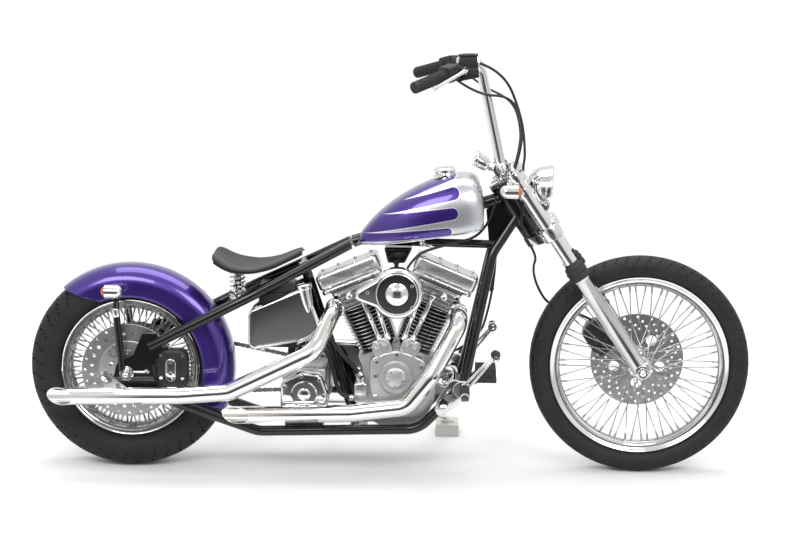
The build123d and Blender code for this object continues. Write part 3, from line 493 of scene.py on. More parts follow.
    @classmethod
    def repeat(cls, obj: Piece, places: list[Matrix]) -> Piece:
        """Copies a piece to each place, each copy with its own mesh, and joins the copies.

        Args:
            obj: The piece, which is used up.
            places: The transform of each copy.

        Returns:
            The joined copies.
        """
        copies = []
        for place in places:
            twin = obj.copy()
            twin.data = obj.data.copy()
            twin.data.transform(place)
            if place.determinant() < 0:
                twin.data.flip_normals()
            bpy.context.scene.collection.objects.link(twin)
            copies.append(twin)
        bpy.data.objects.remove(obj)
        return cls.join(copies)


def rounded_box(
    origin: Vector, along_x: Vector, along_y: Vector, half: tuple[float, float], corner: float,
) -> list[Vector]:
    """Gives a rectangle with round corners, as a list of places.

    Args:
        origin: The rectangle's middle.
        along_x: Its first direction.
        along_y: Its second direction.
        half: Half its length and width.
        corner: The radius of its corners.

    Returns:
        The corners' points in order.
    """
    points = []
    for sign_x, sign_y, first in ((1, 1, 0), (-1, 1, 90), (-1, -1, 180), (1, -1, 270)):
        for step in range(5):
            turn = math.radians(first + 22.5 * step)
            x = sign_x * (half[0] - corner) + corner * math.cos(turn)
            y = sign_y * (half[1] - corner) + corner * math.sin(turn)
            points.append(origin + along_x * x + along_y * y)
    return points


def paint_faces(obj: Piece, finishes: tuple[str, ...], choose: Callable[[Vector, Vector], int]) -> None:
    """Gives each face of a piece one of several finishes by its place and normal.

    Args:
        obj: The piece, still in machine millimetres.
        finishes: The finishes' names.
        choose: Gives the finish's number from a face's middle and normal.
    """
    obj.data.materials.clear()
    for finish in finishes:
        obj.data.materials.append(Shop.get(finish))
    for face in obj.data.polygons:
        face.material_index = choose(face.center, face.normal)


def spun(centre: Vector, count: int, start: float = 0.0, axis: Vector = ACROSS) -> list[Matrix]:
    """Gives the transforms that repeat a piece evenly about an axis.

    Args:
        centre: A point on the axis.
        count: How many copies.
        start: The first copy's angle in degrees.
        axis: The axis direction.

    Returns:
        One transform for each copy.
    """
    home = Matrix.Translation(centre)
    away = Matrix.Translation(-Vector(centre))
    turns = [math.radians(start) + math.tau * step / count for step in range(count)]
    return [home @ Matrix.Rotation(turn, 4, axis) @ away for turn in turns]


class NodeTree:
    """A node tree of a material or a world, with short ways to add and join nodes."""

    def __init__(self, owner: bpy.types.Material | bpy.types.World, surface: str) -> None:
        """Turns on the owner's nodes and finds its surface node.

        Args:
            owner: The material or world.
            surface: The name of its surface node.
        """
        owner.use_nodes = True
        self.nodes = owner.node_tree.nodes
        self.links = owner.node_tree.links
        self.surface = self.nodes[surface]

    def add(self, kind: str, **inputs: object) -> bpy.types.Node:
        """Adds a node and sets its sockets or properties by name.

        Args:
            kind: The node's type, without its ShaderNode prefix.
            inputs: A socket's value, the node's own property, or a socket to join to.

        Returns:
            The node.
        """
        node = self.nodes.new("ShaderNode" + kind)
        for key, value in inputs.items():
            if hasattr(node, key) and not isinstance(value, Socket):
                setattr(node, key, value)
                continue
            name = int(key[1:]) if key[0] == "i" and key[1:].isdigit() else key.replace("_", " ")
            socket = node.inputs[name]
            if isinstance(value, Socket):
                self.links.new(value, socket)
            else:
                socket.default_value = value
        return node

    def math(self, operation: str, first: object, second: object = 0.0) -> Socket:
        """Adds a Math node and gives its output."""
        return self.add("Math", operation=operation, i0=first, i1=second).outputs[0]

    def ramp(self, value: Socket, start: float, end: float, high: float = 1.0) -> Socket:
        """Gives a share that rises from 0 at one value to its highest at another."""
        return self.add("MapRange", i0=value, i1=start, i2=end, i3=0.0, i4=high).outputs[0]

    def blend(self, factor: object, first: object, second: object) -> Socket:
        """Mixes two colours by a factor.

        Args:
            factor: The share of the second colour.
            first: The first colour, or a socket.
            second: The second colour, or a socket.

        Returns:
            The mixed colour's socket.
        """
        node = self.add("Mix", data_type="RGBA")
        for index, value in ((0, factor), (6, first), (7, second)):
            if isinstance(value, Socket):
                self.links.new(value, node.inputs[index])
            else:
                node.inputs[index].default_value = value
        return node.outputs[2]

    def put(self, **inputs: object) -> None:
        """Sets or joins the surface node's sockets.

        Args:
            inputs: A value, or a socket to join to, for each socket's name.
        """
        for key, value in inputs.items():
            socket = self.surface.inputs[key.replace("_", " ")]
            if isinstance(value, Socket):
                self.links.new(value, socket)
            else:
                socket.default_value = value


class Shader(NodeTree):
    """A material with one Principled shader."""

    def __init__(self, name: str) -> None:
        """Starts the material."""
        self.material = bpy.data.materials.new(name)
        super().__init__(self.material, "Principled BSDF")

    def spot(self) -> Socket:
        """Gives the Object coordinates."""
        return self.add("TexCoord").outputs["Object"]

    def noise(self, scale: float, detail: float = 3.0, where: object = None) -> Socket:
        """Adds a noise texture and gives its factor."""
        return self.add("TexNoise", Vector=where or self.spot(), Scale=scale, Detail=detail).outputs["Fac"]

    def spread(self, value: Socket, low: float, high: float) -> Socket:
        """Maps a noise factor's middle part to a range."""
        return self.add("MapRange", i0=value, i1=0.3, i2=0.7, i3=low, i4=high).outputs[0]

    def bump(self, height: Socket, strength: float, distance: float) -> None:
        """Lets a height field dent the surface."""
        node = self.add("Bump", Height=height, Strength=strength, Distance=distance)
        self.links.new(node.outputs[0], self.surface.inputs["Normal"])


Colour = tuple[float, float, float, float]


@dataclass(frozen=True)
class Metal:
    """Plated, polished, brushed or cast metal."""

    name: str
    tint: Colour
    shade: Colour
    rough: tuple[float, float]
    scale: float = 9.0
    stretch: tuple[float, float, float] = (1, 1, 1)
    dent: float = 0.0
    grain: float = 400.0
    metallic: float = 1.0

    def build(self) -> bpy.types.Material:
        """Makes the material: tint and roughness drift, and a grain dents the surface.

        Returns:
            The material.
        """
        shader = Shader(self.name)
        where = shader.add("Mapping", Vector=shader.spot(), Scale=self.stretch).outputs[0]
        drift = shader.noise(self.scale, 4, where)
        grain = shader.noise(self.grain, 2, where)
        mixed = shader.math("ADD", shader.math("MULTIPLY", drift, 0.6), shader.math("MULTIPLY", grain, 0.4))
        shader.put(
            Base_Color=shader.blend(shader.spread(drift, 0, 1), self.tint, self.shade),
            Roughness=shader.spread(mixed, *self.rough),
            Metallic=self.metallic,
        )
        if self.dent:
            shader.bump(grain, self.dent, 0.0004)
        return shader.material


@dataclass(frozen=True)
class Paint:
    """Glossy paint with a flake under a clear coat."""

    name: str
    colour: Colour
    flake: Colour
    metallic: float
    rough: float = 0.32
    coat: float = 1.0

    def base(self, shader: Shader) -> Socket:
        """Gives the colour of the flaked base coat."""
        cells = shader.add("TexVoronoi", Vector=shader.spot(), Scale=1400.0).outputs["Distance"]
        return shader.blend(shader.math("MULTIPLY", cells, 0.5), self.colour, self.flake)

    def dress(self, shader: Shader, colour: Socket) -> bpy.types.Material:
        """Puts a base coat under the clear coat, with a faint orange peel.

        Args:
            shader: The material's shader.
            colour: The base coat's colour.

        Returns:
            The material.
        """
        shader.put(
            Base_Color=colour,
            Metallic=self.metallic,
            Roughness=shader.spread(shader.noise(600.0), self.rough - 0.05, self.rough + 0.05),
            Coat_Weight=self.coat,
            Coat_Roughness=0.03,
        )
        peel = shader.add("Bump", Height=shader.noise(180.0, 1), Strength=0.03, Distance=0.0003)
        shader.links.new(peel.outputs[0], shader.surface.inputs["Coat Normal"])
        return shader.material

    def build(self) -> bpy.types.Material:
        """Makes the plain painted material."""
        shader = Shader(self.name)
        return self.dress(shader, self.base(shader))


@dataclass(frozen=True)
class ScallopPaint(Paint):
    """Purple fingers with rounded front ends over a silver front, with a pale line at their edge."""

    silver: Colour = (0.42, 0.43, 0.45, 1)
    line: Colour = (0.82, 0.81, 0.88, 1)
    line_width: float = 1.3
    # front end x and z, radius there, slope towards the rear, widening
    fingers: tuple[tuple[float, float, float, float, float], ...] = (
        (988, 938, 19.5, 0.40, 0.03), (997, 882.6, 20, 0.275, -0.0275), (995, 822.5, 19, 0.172, 0.031),
        (983, 766, 13.5, 0.118, 0.005),
    )

    def build(self) -> bpy.types.Material:
        """Makes the paint from the distance to each finger, in the machine's side view.

        Returns:
            The material.
        """
        shader = Shader(self.name)
        tilt = MACHINE.to_euler().x
        place = shader.add("Mapping", vector_type="TEXTURE", Vector=shader.spot())
        place.inputs["Location"].default_value = MACHINE.translation
        place.inputs["Rotation"].default_value = (tilt, 0, 0)
        parts = shader.add("SeparateXYZ", Vector=place.outputs[0])
        x = shader.math("MULTIPLY", parts.outputs[0], 1 / MM)
        z = shader.math("MULTIPLY", parts.outputs[2], 1 / MM)
        nearest = None
        for front_x, front_z, radius, slope, widening in self.fingers:
            length = math.hypot(1, slope)
            way_x = -1 / length
            way_z = -slope / length
            dx = shader.math("SUBTRACT", x, front_x)
            dz = shader.math("SUBTRACT", z, front_z)
            run = shader.math("ADD", shader.math("MULTIPLY", dx, way_x), shader.math("MULTIPLY", dz, way_z))
            run = shader.math("MAXIMUM", run, 0.0)
            off_x = shader.math("SUBTRACT", dx, shader.math("MULTIPLY", run, way_x))
            off_z = shader.math("SUBTRACT", dz, shader.math("MULTIPLY", run, way_z))
            square = shader.math("ADD", shader.math("POWER", off_x, 2.0), shader.math("POWER", off_z, 2.0))
            width = shader.math("ADD", shader.math("MULTIPLY", run, widening), radius)
            gap = shader.math("SUBTRACT", shader.math("SQRT", square), width)
            nearest = gap if nearest is None else shader.math("MINIMUM", nearest, gap)
        silver = shader.math("GREATER_THAN", nearest, 0.0)
        edge = shader.math("LESS_THAN", shader.math("ABSOLUTE", nearest), self.line_width)
        speckle = shader.spread(shader.noise(900.0, 2), 0, 1)
        bright = shader.blend(speckle, self.silver, (0.55, 0.56, 0.58, 1))
        colour = shader.blend(silver, self.base(shader), bright)
        return self.dress(shader, shader.blend(edge, colour, self.line))


@dataclass(frozen=True)
class Soft:
    """Rubber, vinyl or plastic with a fine grain."""

    name: str
    colour: Colour
    worn: Colour
    rough: tuple[float, float]
    grain: float
    dent: float

    def build(self) -> bpy.types.Material:
        """Makes the material: colour drifts slightly and a cell grain dents the surface.

        Returns:
            The material.
        """
        shader = Shader(self.name)
        drift = shader.noise(14.0, 5)
        cells = shader.add("TexVoronoi", Vector=shader.spot(), Scale=self.grain).outputs["Distance"]
        shader.put(
            Base_Color=shader.blend(shader.spread(drift, 0, 1), self.colour, self.worn),
            Roughness=shader.spread(drift, *self.rough),
            Specular_IOR_Level=0.26,
        )
        shader.bump(cells, self.dent, 0.0005)
        return shader.material


@dataclass(frozen=True)
class Lens:
    """Moulded lamp glass with a fluted inside."""

    name: str
    colour: Colour
    see_through: float
    flutes: float

    def build(self) -> bpy.types.Material:
        """Makes the lens: flutes dent a glossy coloured glass.

        Returns:
            The material.
        """
        shader = Shader(self.name)
        wave = shader.add("TexWave", Vector=shader.spot(), Scale=self.flutes, bands_direction="Z")
        shader.put(
            Base_Color=shader.blend(shader.spread(shader.noise(60.0), 0, 0.06), self.colour, (1, 1, 1, 1)),
            Transmission_Weight=self.see_through,
            Roughness=0.06,
            IOR=1.45,
        )
        shader.bump(wave.outputs["Fac"], 0.4, 0.001)
        return shader.material


def grey(value: float) -> Colour:
    """Gives a neutral colour."""
    return (value, value, value, 1)


class Shop:
    """All finishes, each made once and then shared."""

    finishes = (
        Metal("chrome", grey(0.80), (0.70, 0.69, 0.68, 1), (0.03, 0.11), 7, dent=0.01),
        Metal("polished_steel", grey(0.66), grey(0.58), (0.10, 0.20), 12, dent=0.02),
        Metal("spoke_steel", grey(0.42), grey(0.34), (0.14, 0.24), 12, dent=0.02),
        # darker chrome for the air cleaner's face: painted dark reflection of the room
        Metal("dark_reflection_chrome", grey(0.42), (0.33, 0.31, 0.29, 1), (0.03, 0.09), 6, dent=0.01),
        Metal("disc_steel", grey(0.42), (0.34, 0.33, 0.32, 1), (0.26, 0.40), 40, dent=0.08),
        Soft("pale_dial", (0.80, 0.79, 0.75, 1), (0.74, 0.73, 0.69, 1), (0.4, 0.5), 900, 0.02),
        Metal("pipe_chrome", grey(0.82), (0.74, 0.70, 0.66, 1), (0.03, 0.10), 5),
        Metal("chain_steel", grey(0.30), (0.20, 0.18, 0.16, 1), (0.30, 0.50), 60, dent=0.1),
        Metal("brushed_steel", grey(0.62), grey(0.52), (0.24, 0.40), 30, (1, 1, 6), 0.08),
        Metal("engine_aluminium", grey(0.58), grey(0.48), (0.34, 0.48), 25, dent=0.10, grain=700),
        Metal("brushed_aluminium", grey(0.80), grey(0.70), (0.20, 0.34), 8, (1, 1, 9), 0.10, 300),
        Metal("cast_black", grey(0.030), grey(0.018), (0.35, 0.55), 50, dent=0.25, grain=900, metallic=0.3),
        Metal("caliper_black", grey(0.022), grey(0.034), (0.28, 0.42), 40, dent=0.2, metallic=0.3),
        Paint("frame_black", grey(0.003), grey(0.006), 0.4, 0.24, 0.55),
        Paint("purple_paint", (0.036, 0.012, 0.17, 1), (0.088, 0.036, 0.35, 1), 0.75, 0.30),
        ScallopPaint("scallop_paint", (0.036, 0.012, 0.17, 1), (0.088, 0.036, 0.35, 1), 0.75, 0.30),
        Soft("tyre_rubber", grey(0.010), grey(0.018), (0.50, 0.68), 700, 0.15),
        # near-black rubber for the sunk grooves: painted shade in the grooves, on the same rubber as the
        # tread
        Soft("groove_shade_rubber", grey(0.001), grey(0.002), (0.80, 0.90), 700, 0.1),
        Soft("grip_rubber", grey(0.018), grey(0.028), (0.50, 0.70), 900, 0.2),
        Soft("black_vinyl", grey(0.014), grey(0.022), (0.36, 0.50), 500, 0.25),
        Soft("black_plastic", grey(0.016), grey(0.026), (0.34, 0.50), 900, 0.10),
        Soft("braided_hose", grey(0.012), grey(0.03), (0.25, 0.40), 1800, 0.3),
        Soft("wood_block", (0.62, 0.60, 0.56, 1), (0.54, 0.52, 0.47, 1), (0.55, 0.75), 260, 0.2),
        Lens("amber_lens", (0.46, 0.115, 0.004, 1), 0.0, 40),
        Lens("clear_glass", (0.96, 0.97, 0.98, 1), 0.85, 25),
    )
    made: dict[str, bpy.types.Material] = {}

    @classmethod
    def get(cls, name: str) -> bpy.types.Material:
        """Gives a finish's material, made at its first use.

        Args:
            name: The finish's name.

        Returns:
            The material.
        """
        if name not in cls.made:
            finish = next(finish for finish in cls.finishes if finish.name == name)
            cls.made[name] = finish.build()
        return cls.made[name]


# finishes that belong to another slot of the record
SLOTS = {
    "pipe_chrome": "chrome",
    "polished_steel": "brushed_steel",
    "disc_steel": "brushed_steel",
    "dark_reflection_chrome": "chrome",
    "spoke_steel": "chrome",
    "brushed_aluminium": "engine_aluminium",
    "cast_black": "engine_black",
    "scallop_paint": "purple_paint",
    "braided_hose": "black_plastic",
}


def deliver(
    pieces: Piece | list[Piece],
    name: str,
    finish: str,
    node: str = "",
    body: Body = Body.CHASSIS,
    slot: str = "",
    angle: float = 35.0,
) -> None:
    """Joins a piece's meshes, places them in the frame, dresses them and lets them ride.

    Args:
        pieces: The mesh or meshes in machine millimetres.
        name: The piece's name.
        finish: The finish's name in the shop, or nothing where the faces are painted already.
        node: The CAD node that it stands for.
        body: The body that it moves with.
        slot: The record's slot, where it isn't the finish's own; it is looked up but not used.
        angle: Faces that meet flatter than this many degrees are shaded smooth.
    """
    obj = Bench.join(pieces) if isinstance(pieces, list) else pieces
    obj.data.transform(MACHINE @ obj.matrix_world)
    obj.matrix_world = Matrix.Identity(4)
    obj.name = name
    obj.data.name = name
    if finish:
        obj.data.materials.clear()
        obj.data.materials.append(Shop.get(finish))
    Bench.take(obj)
    bpy.ops.object.shade_smooth_by_angle(angle=math.radians(angle))
    slot = slot or finish
    SLOTS.get(slot, slot)
    if node:
        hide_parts(node)
    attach(obj, body.value)
    LOG.info("%s: %d faces, on %s", name, len(obj.data.polygons), body.value)


@dataclass
class LacedWheel:
    """A laced wire wheel: tyre with tread, rim, hub, spokes with nipples and a drilled disc."""

    name: str
    body: Body
    axle: Vector
    tyre_r: float
    tyre_half: float
    flange_r: float
    rim_half: float
    hub_half: float
    barrel_r: float
    flange_y: float
    hub_flange_r: float
    pairs: int
    lacing: float
    disc_y: float
    pitches: int
    rim_depth: float = 15.0
    disc_r: float = 146.0
    spoke_r: float = 1.7
    nipple_r: float = 3.2
    groove_depth: float = 4.0
    groove_rake: float = 1.2
    shoulder: tuple[float, float] = (0.58, 0.99)

    def build(self) -> None:
        """Builds and dresses every piece of the wheel."""
        self.build_tyre()
        self.build_rim()
        self.build_hub()
        self.build_spokes()
        self.build_disc()

    def build_tyre(self) -> None:
        """Builds one pitch of the tyre, sinks its groove, darkens it with painted shade and repeats it round
        the wheel.
        """
        height = self.tyre_r - self.flange_r
        bead = self.rim_half - 8
        # share of the height above the rim, share of the half width
        flank = [
            (0.0, bead / self.tyre_half), (0.03, 0.70), (0.10, 0.83), (0.24, 0.94), (0.42, 0.995),
            (0.55, 0.99),
            (0.62, 0.962), (0.70, 0.925), (0.79, 0.86), (0.865, 0.76), (0.92, 0.63), (0.96, 0.47),
            (0.985, 0.29), (0.997, 0.12)
        ]
        side = [(self.flange_r + high * height, wide * self.tyre_half) for high, wide in flank]
        inner = self.flange_r - self.rim_depth + 2
        profile = [(inner, -bead)] + [(r, -y) for r, y in side]
        profile += [(r, y) for r, y in reversed(side)] + [(inner, bead)]
        points = [self.axle + Vector((radius, wide, 0)) for radius, wide in profile]
        obj = Bench.line(points, closed=True)
        slices = 6
        arc = math.tau / self.pitches
        bpy.ops.mesh.spin(steps=slices, angle=arc, center=self.axle, axis=(0, 1, 0))
        bpy.ops.mesh.select_all(action="DESELECT")
        mesh = bmesh.from_edit_mesh(obj.data)
        for face in mesh.faces:
            middle = face.calc_center_median() - self.axle
            radius = math.hypot(middle.x, middle.z)
            level = (radius - self.flange_r) / height
            turn = abs(math.atan2(middle.z, middle.x)) / arc * slices
            wanted = 1 + int(4 * (1 - level) / (1 - self.shoulder[0]))
            face.select = self.shoulder[0] < level < self.shoulder[1] and int(turn) == wanted
        bmesh.update_edit_mesh(obj.data)
        bpy.ops.mesh.inset(thickness=self.tyre_r * 0.0035, depth=0)
        bpy.ops.mesh.extrude_region_shrink_fatten(TRANSFORM_OT_shrink_fatten={"value": 0})
        mesh = bmesh.from_edit_mesh(obj.data)
        for vert in mesh.verts:
            if vert.select:
                away = vert.co - self.axle
                away.y = 0
                rake = Vector((0, math.copysign(self.groove_rake, vert.co.y), 0))
                vert.co -= away.normalized() * self.groove_depth + rake
        # the sunk groove faces take the near-black groove rubber: painted shade in the grooves
        for face in mesh.faces:
            face.material_index = int(face.select)
        bmesh.update_edit_mesh(obj.data)
        bpy.ops.object.mode_set(mode="OBJECT")
        obj.data.materials.append(Shop.get("tyre_rubber"))
        obj.data.materials.append(Shop.get("groove_shade_rubber"))
        tyre = Bench.repeat(obj, spun(self.axle, self.pitches))
        Bench.take(tyre)
        bpy.ops.object.mode_set(mode="EDIT")
        Bench.close(0.05)
        deliver(
            tyre, f"{self.name}_tyre_tread", "", f"{self.name}_tyre", body=self.body, slot="tyre_rubber",
            angle=28
        )

    def build_rim(self) -> None:
        """Turns the rim with its rolled edges and dropped centre."""
        outer = self.flange_r
        seat = outer - self.rim_depth
        wide = self.rim_half
        half = [
            (wide - 1.5, outer), (wide + 0.5, outer - 2), (wide, outer - 6), (wide - 4, outer - 9),
            (wide - 8, seat - 1),
            (wide * 0.74, seat - 6), (wide * 0.66, seat - 7), (wide * 0.52, seat - 14),
            (wide * 0.36, seat - 18), (wide * 0.18, seat - 19.5)
        ]
        back = [
            (wide * 0.30, seat - 12), (wide * 0.62, seat - 2), (wide - 7, seat + 1), (wide - 5, outer - 3)
        ]
        ring = [(y, r) for y, r in half] + [(-y, r) for y, r in reversed(half)]
        ring += [(-y, r) for y, r in reversed(back)] + [(y, r) for y, r in back]
        rim = Bench.lathe(ring, self.axle, ACROSS, 96, closed=True)
        deliver(rim, f"{self.name}_rim_chrome", "chrome", f"{self.name}_rim", body=self.body, angle=50)

    def build_hub(self) -> None:
        """Turns the hub barrel with its two spoke flanges."""
        low = self.barrel_r
        high = self.hub_flange_r
        near = self.flange_y
        bore = 9.8
        half = [
            (0, low - 3), (near * 0.5, low - 3), (near - 6, low), (near, high - 10), (near + 1, high - 2),
            (near + 4, high),
            (near + 7, high - 2), (near + 8, high - 9), (near + 10, low + 4), (self.hub_half - 2, low),
            (self.hub_half, low - 2), (self.hub_half, bore)
        ]
        profile = [(y, r) for y, r in half] + [(-y, r) for y, r in reversed(half[1:])]
        hub = Bench.lathe(profile, self.axle, ACROSS, 64, closed=True)
        deliver(hub, f"{self.name}_hub_chrome", "chrome", f"{self.name}_hub", body=self.body, angle=45)

    def build_spokes(self) -> None:
        """Turns one spoke with its nipple, and laces the copies."""
        hub_y = self.flange_y + 4
        hub_r = self.hub_flange_r - 5
        rim_r = self.flange_r - self.rim_depth - 18
        rim_y = 6.0 if self.name == "rear" else 4.0
        pieces = []
        for side in (-1, 1):
            for step in range(self.pairs):
                for way in (-1, 1):
                    turn = math.tau * (step + 0.25 * side + 0.08 * way) / self.pairs
                    end = turn + math.radians(self.lacing * way)
                    foot_y = side * (hub_y + 2 * way)
                    low = self.axle + Vector((hub_r * math.cos(turn), foot_y, hub_r * math.sin(turn)))
                    high = self.axle + Vector((rim_r * math.cos(end), side * rim_y, rim_r * math.sin(end)))
                    pieces.append((low, high))
        length = (pieces[0][1] - pieces[0][0]).length
        thin, thick = self.spoke_r, self.nipple_r
        profile = [(-3, 0), (-3, 3.0), (0, 3.0), (1.5, thin), (length - 22, thin), (length - 20, thick - 0.4)]
        profile += [(length - 4, thick), (length, thick), (length, 0)]
        spoke = Bench.lathe(profile, (0, 0, 0), (0, 0, 1), 8)
        places = []
        for low, high in pieces:
            turn = (high - low).to_track_quat("Z", "Y").to_matrix().to_4x4()
            places.append(Matrix.Translation(low) @ turn)
        laced = Bench.repeat(spoke, places)
        deliver(
            laced, f"{self.name}_laced_spokes", "spoke_steel", f"{self.name}_spokes", body=self.body, angle=50
        )

    def build_disc(self) -> None:
        """Turns the brake disc, drills its track and opens its carrier."""
        side = math.copysign(1, self.disc_y)
        middle = self.axle + Vector((0, self.disc_y, 0))
        face = self.flange_y + 8 - abs(self.disc_y)
        profile = [(-3, self.disc_r - 1), (-2, self.disc_r), (2, self.disc_r), (3, self.disc_r - 1)]
        profile += [
            (3, 93), (5, 91), (6, 60), (8, 48), (8, self.barrel_r + 1), (face, self.barrel_r + 1),
            (face, 44), (-4, 46), (-3, 60)
        ]
        disc = Bench.lathe(profile, middle, ACROSS * side, 96, closed=True)
        cutters = []
        # radius of the ring, holes, hole radius, first angle
        holes = ((136, 20, 4.8, 0), (123, 20, 4.4, 7), (110, 20, 4.2, 14), (98, 20, 3.6, 3), (75, 5, 17, 18))
        if self.name == "rear":
            holes = ((136, 24, 4.6, 0), (116, 24, 6.0, 7.5), (72, 5, 20, 18))
        for ring_r, count, hole_r, start in holes:
            middle_hole = middle + Vector((ring_r, 0, 0))
            cutter = Bench.rod(
                middle_hole - ACROSS * 30, middle_hole + ACROSS * 30, hole_r, 12 if hole_r < 10 else 32, 0.5
            )
            cutters.append(Bench.repeat(cutter, spun(middle, count, start)))
        Bench.cut(disc, Bench.join(cutters))
        bolt_at = middle + ACROSS * side * 5 + Vector((58, 0, 0))
        bolt = Bench.lathe(
            [(0, 0), (0, 8), (6, 8), (8, 6), (8, 4), (5, 3.4), (5, 0)], bolt_at, ACROSS * side, 6
        )
        bolts = Bench.repeat(bolt, spun(middle, 5, 54))

        def carrier(place: Vector, normal: Vector) -> int:
            """Picks the polished carrier inside the braking track."""
            away = place - middle
            return int(math.hypot(away.x, away.z) < 95 and abs(away.y) > 3.5)

        paint_faces(disc, ("disc_steel", "brushed_steel"), carrier)
        deliver(
            disc, f"{self.name}_disc_drilled", "", f"{self.name}_disc", body=self.body, slot="brushed_steel"
        )
        deliver(bolts, f"{self.name}_disc_bolts", "chrome", body=self.body)


@dataclass
class Engine:
    """The air-cooled V-twin with its covers, intake and push rods."""

    cable_r: float = 3.5
    base: float = 140.0
    height: float = 150.0
    head: float = 64.0
    fin_r: float = 72.0
    root_r: float = 61.0
    fins: int = 12
    fin_step: float = 12.0
    head_half: float = 71.0
    head_width: float = 156.0
    split: float = 3.0
    cleaner: tuple[float, float] = (832.0, 592.0)

    def build(self) -> None:
        """Builds and dresses the whole engine."""
        self.build_cylinders()
        self.build_heads()
        self.build_rocker_covers()
        self.build_cam_cover()
        self.build_push_rods()
        self.build_air_cleaner()
        self.build_carburettor()
        self.build_oil_pump()

    def axes(self, bank: int) -> tuple[Vector, Vector]:
        """Gives a bank's direction across and its direction up."""
        foot = cylinder_point(bank, 0, 0, 0)
        return cylinder_point(bank, 1, 0, 0) - foot, cylinder_point(bank, 0, 0, 1) - foot

    def fin_edge(self, along: float) -> float:
        """Gives the fins' radius at a height: the barrel widens towards its head."""
        return self.fin_r - 7 + 12 * (along - self.base) / self.height

    def build_cylinders(self) -> None:
        """Turns each finned barrel and trims it at the middle of the V."""
        barrels = []
        for bank in (-1, 1):
            _, up = self.axes(bank)
            profile = [(self.base, 0), (self.base, self.root_r - 6)]
            for fin in range(self.fins):
                low = self.base + 9 + self.fin_step * fin
                edge = self.fin_edge(low)
                profile += [
                    (low, self.root_r - 6), (low + 0.5, edge - 9), (low + 0.9, edge - 1.2), (low + 1.4, edge),
                    (low + 3.2, edge), (low + 3.7, edge - 1.2), (low + 4.1, edge - 9),
                    (low + 4.6, self.root_r - 6)
                ]
            profile += [(self.base + self.height, self.root_r - 6), (self.base + self.height, 0)]
            barrel = Bench.lathe(profile, cylinder_point(bank, 0, 0, 0), up, 72)
            Bench.take(barrel)
            bpy.ops.object.mode_set(mode="EDIT")
            bpy.ops.mesh.select_all(action="SELECT")
            edge = Vector((CRANK.x + bank * self.split, 0, 0))
            bpy.ops.mesh.bisect(plane_co=edge, plane_no=(-bank, 0, 0), use_fill=True, clear_outer=True)
            bpy.ops.object.mode_set(mode="OBJECT")
            barrels.append(barrel)
        cylinders = Bench.join(barrels)

        def rim(middle: Vector, normal: Vector) -> int:
            """Picks the machined edge of a fin; the faces nearer the barrel stay cast black as painted shade
            between the fins.

            Args:
                middle: A face's middle.
                normal: Its normal, which isn't needed here.

            Returns:
                1 on the edge, 0 on the painted shade nearer the barrel.
            """
            bank = 1 if middle.x > CRANK.x else -1
            _, up = self.axes(bank)
            arm = middle - CRANK
            along = arm.dot(up)
            arm -= up * along
            return int(arm.length > self.fin_edge(along) - 9)

        # silver outer fins; the cast black nearer the barrel is painted shade between the fins
        paint_faces(cylinders, ("cast_black", "brushed_aluminium"), rim)
        deliver(cylinders, "finned_cylinders", "", "cylinders", slot="cast_black", angle=30)

    def build_heads(self) -> None:
        """Stacks each head's fin plates on its core, and adds its spark plug."""
        pieces = []
        plugs = []
        for bank in (-1, 1):
            across, up = self.axes(bank)
            foot = cylinder_point(bank, 0, 0, self.base + self.height)
            half = (self.head_half - 9, self.head_width / 2 - 9)
            pieces.append(Bench.plate(rounded_box(foot, across, ACROSS, half, 16), up * self.head))
            # height above the gasket, thickness
            for low, thick in ((0, 6), (14, 5), (27, 5), (40, 5), (53, 11)):
                outline = rounded_box(
                    foot + up * low, across, ACROSS, (self.head_half, self.head_width / 2), 18
                )
                pieces.append(Bench.plate(outline, up * thick, 1.4, 2))
            plug_at = foot + up * 34 + across * 22 * bank - ACROSS * 62
            way = (-ACROSS + up * 0.35).normalized()
            steps = [(0, 0), (0, 10), (14, 10), (14, 7), (20, 7), (20, 5.5), (34, 5.5), (36, 0)]
            plugs.append(Bench.lathe(steps, plug_at, way, 16))
        heads = Bench.join(pieces)

        def edge(middle: Vector, normal: Vector) -> int:
            """Picks the machined rim of a fin plate; the rest stays cast black as painted shade between the
            plates.

            Args:
                middle: A face's middle.
                normal: Its normal.

            Returns:
                1 on the rim, 0 on the painted shade between the plates.
            """
            bank = 1 if middle.x > CRANK.x else -1
            _, up = self.axes(bank)
            return int(abs(normal.dot(up)) < 0.3 and abs(middle.y) > self.head_width / 2 - 12)

        # silver fin rims; the cast black between the plates and on the core is painted shade
        paint_faces(heads, ("cast_black", "brushed_aluminium"), edge)
        deliver(heads, "finned_heads", "", "cylinder_heads", slot="cast_black", angle=30)
        deliver(plugs, "spark_plugs", "brushed_steel", angle=40)

    def build_rocker_covers(self) -> None:
        """Stacks each rocker cover's lipped layers and screws them down."""
        pieces = []
        screws = []
        for bank in (-1, 1):
            across, up = self.axes(bank)
            foot = cylinder_point(bank, 0, 0, self.base + self.height + self.head)
            # height above the base, thickness, length, width, edge
            layers = ((0, 12, 198, 122, 2.5), (12, 4, 190, 114, 0.5), (16, 46, 204, 128, 8.0))
            for low, thick, length, width, soft in layers:
                outline = rounded_box(foot + up * low, across, ACROSS, (length / 2, width / 2), 17)
                pieces.append(Bench.plate(outline, up * thick, soft, 3))
            for x in (-86, -30, 30, 86):
                for y in (-48, 48):
                    at = foot + across * x * 0.94 + ACROSS * y + up * 60.5
                    section = [(0, 6), (4.4, 6), (5.2, 5.2), (5.2, 2.6), (2.5, 2.6), (2.5, 0)]
                    screws.append(Bench.lathe(section, at, up, 16))
            for x in (-70, -24, 24, 70):
                at = foot + across * x - ACROSS * 60.5 + up * 6
                section = [(0, 5), (2.6, 5), (3.4, 4.2), (3.4, 2.2), (1.5, 2.2), (1.5, 0)]
                screws.append(Bench.lathe(section, at, -ACROSS, 16))
        deliver(pieces, "rocker_boxes", "brushed_aluminium", "rocker_covers", angle=30)
        deliver(screws, "rocker_screws", "chrome")

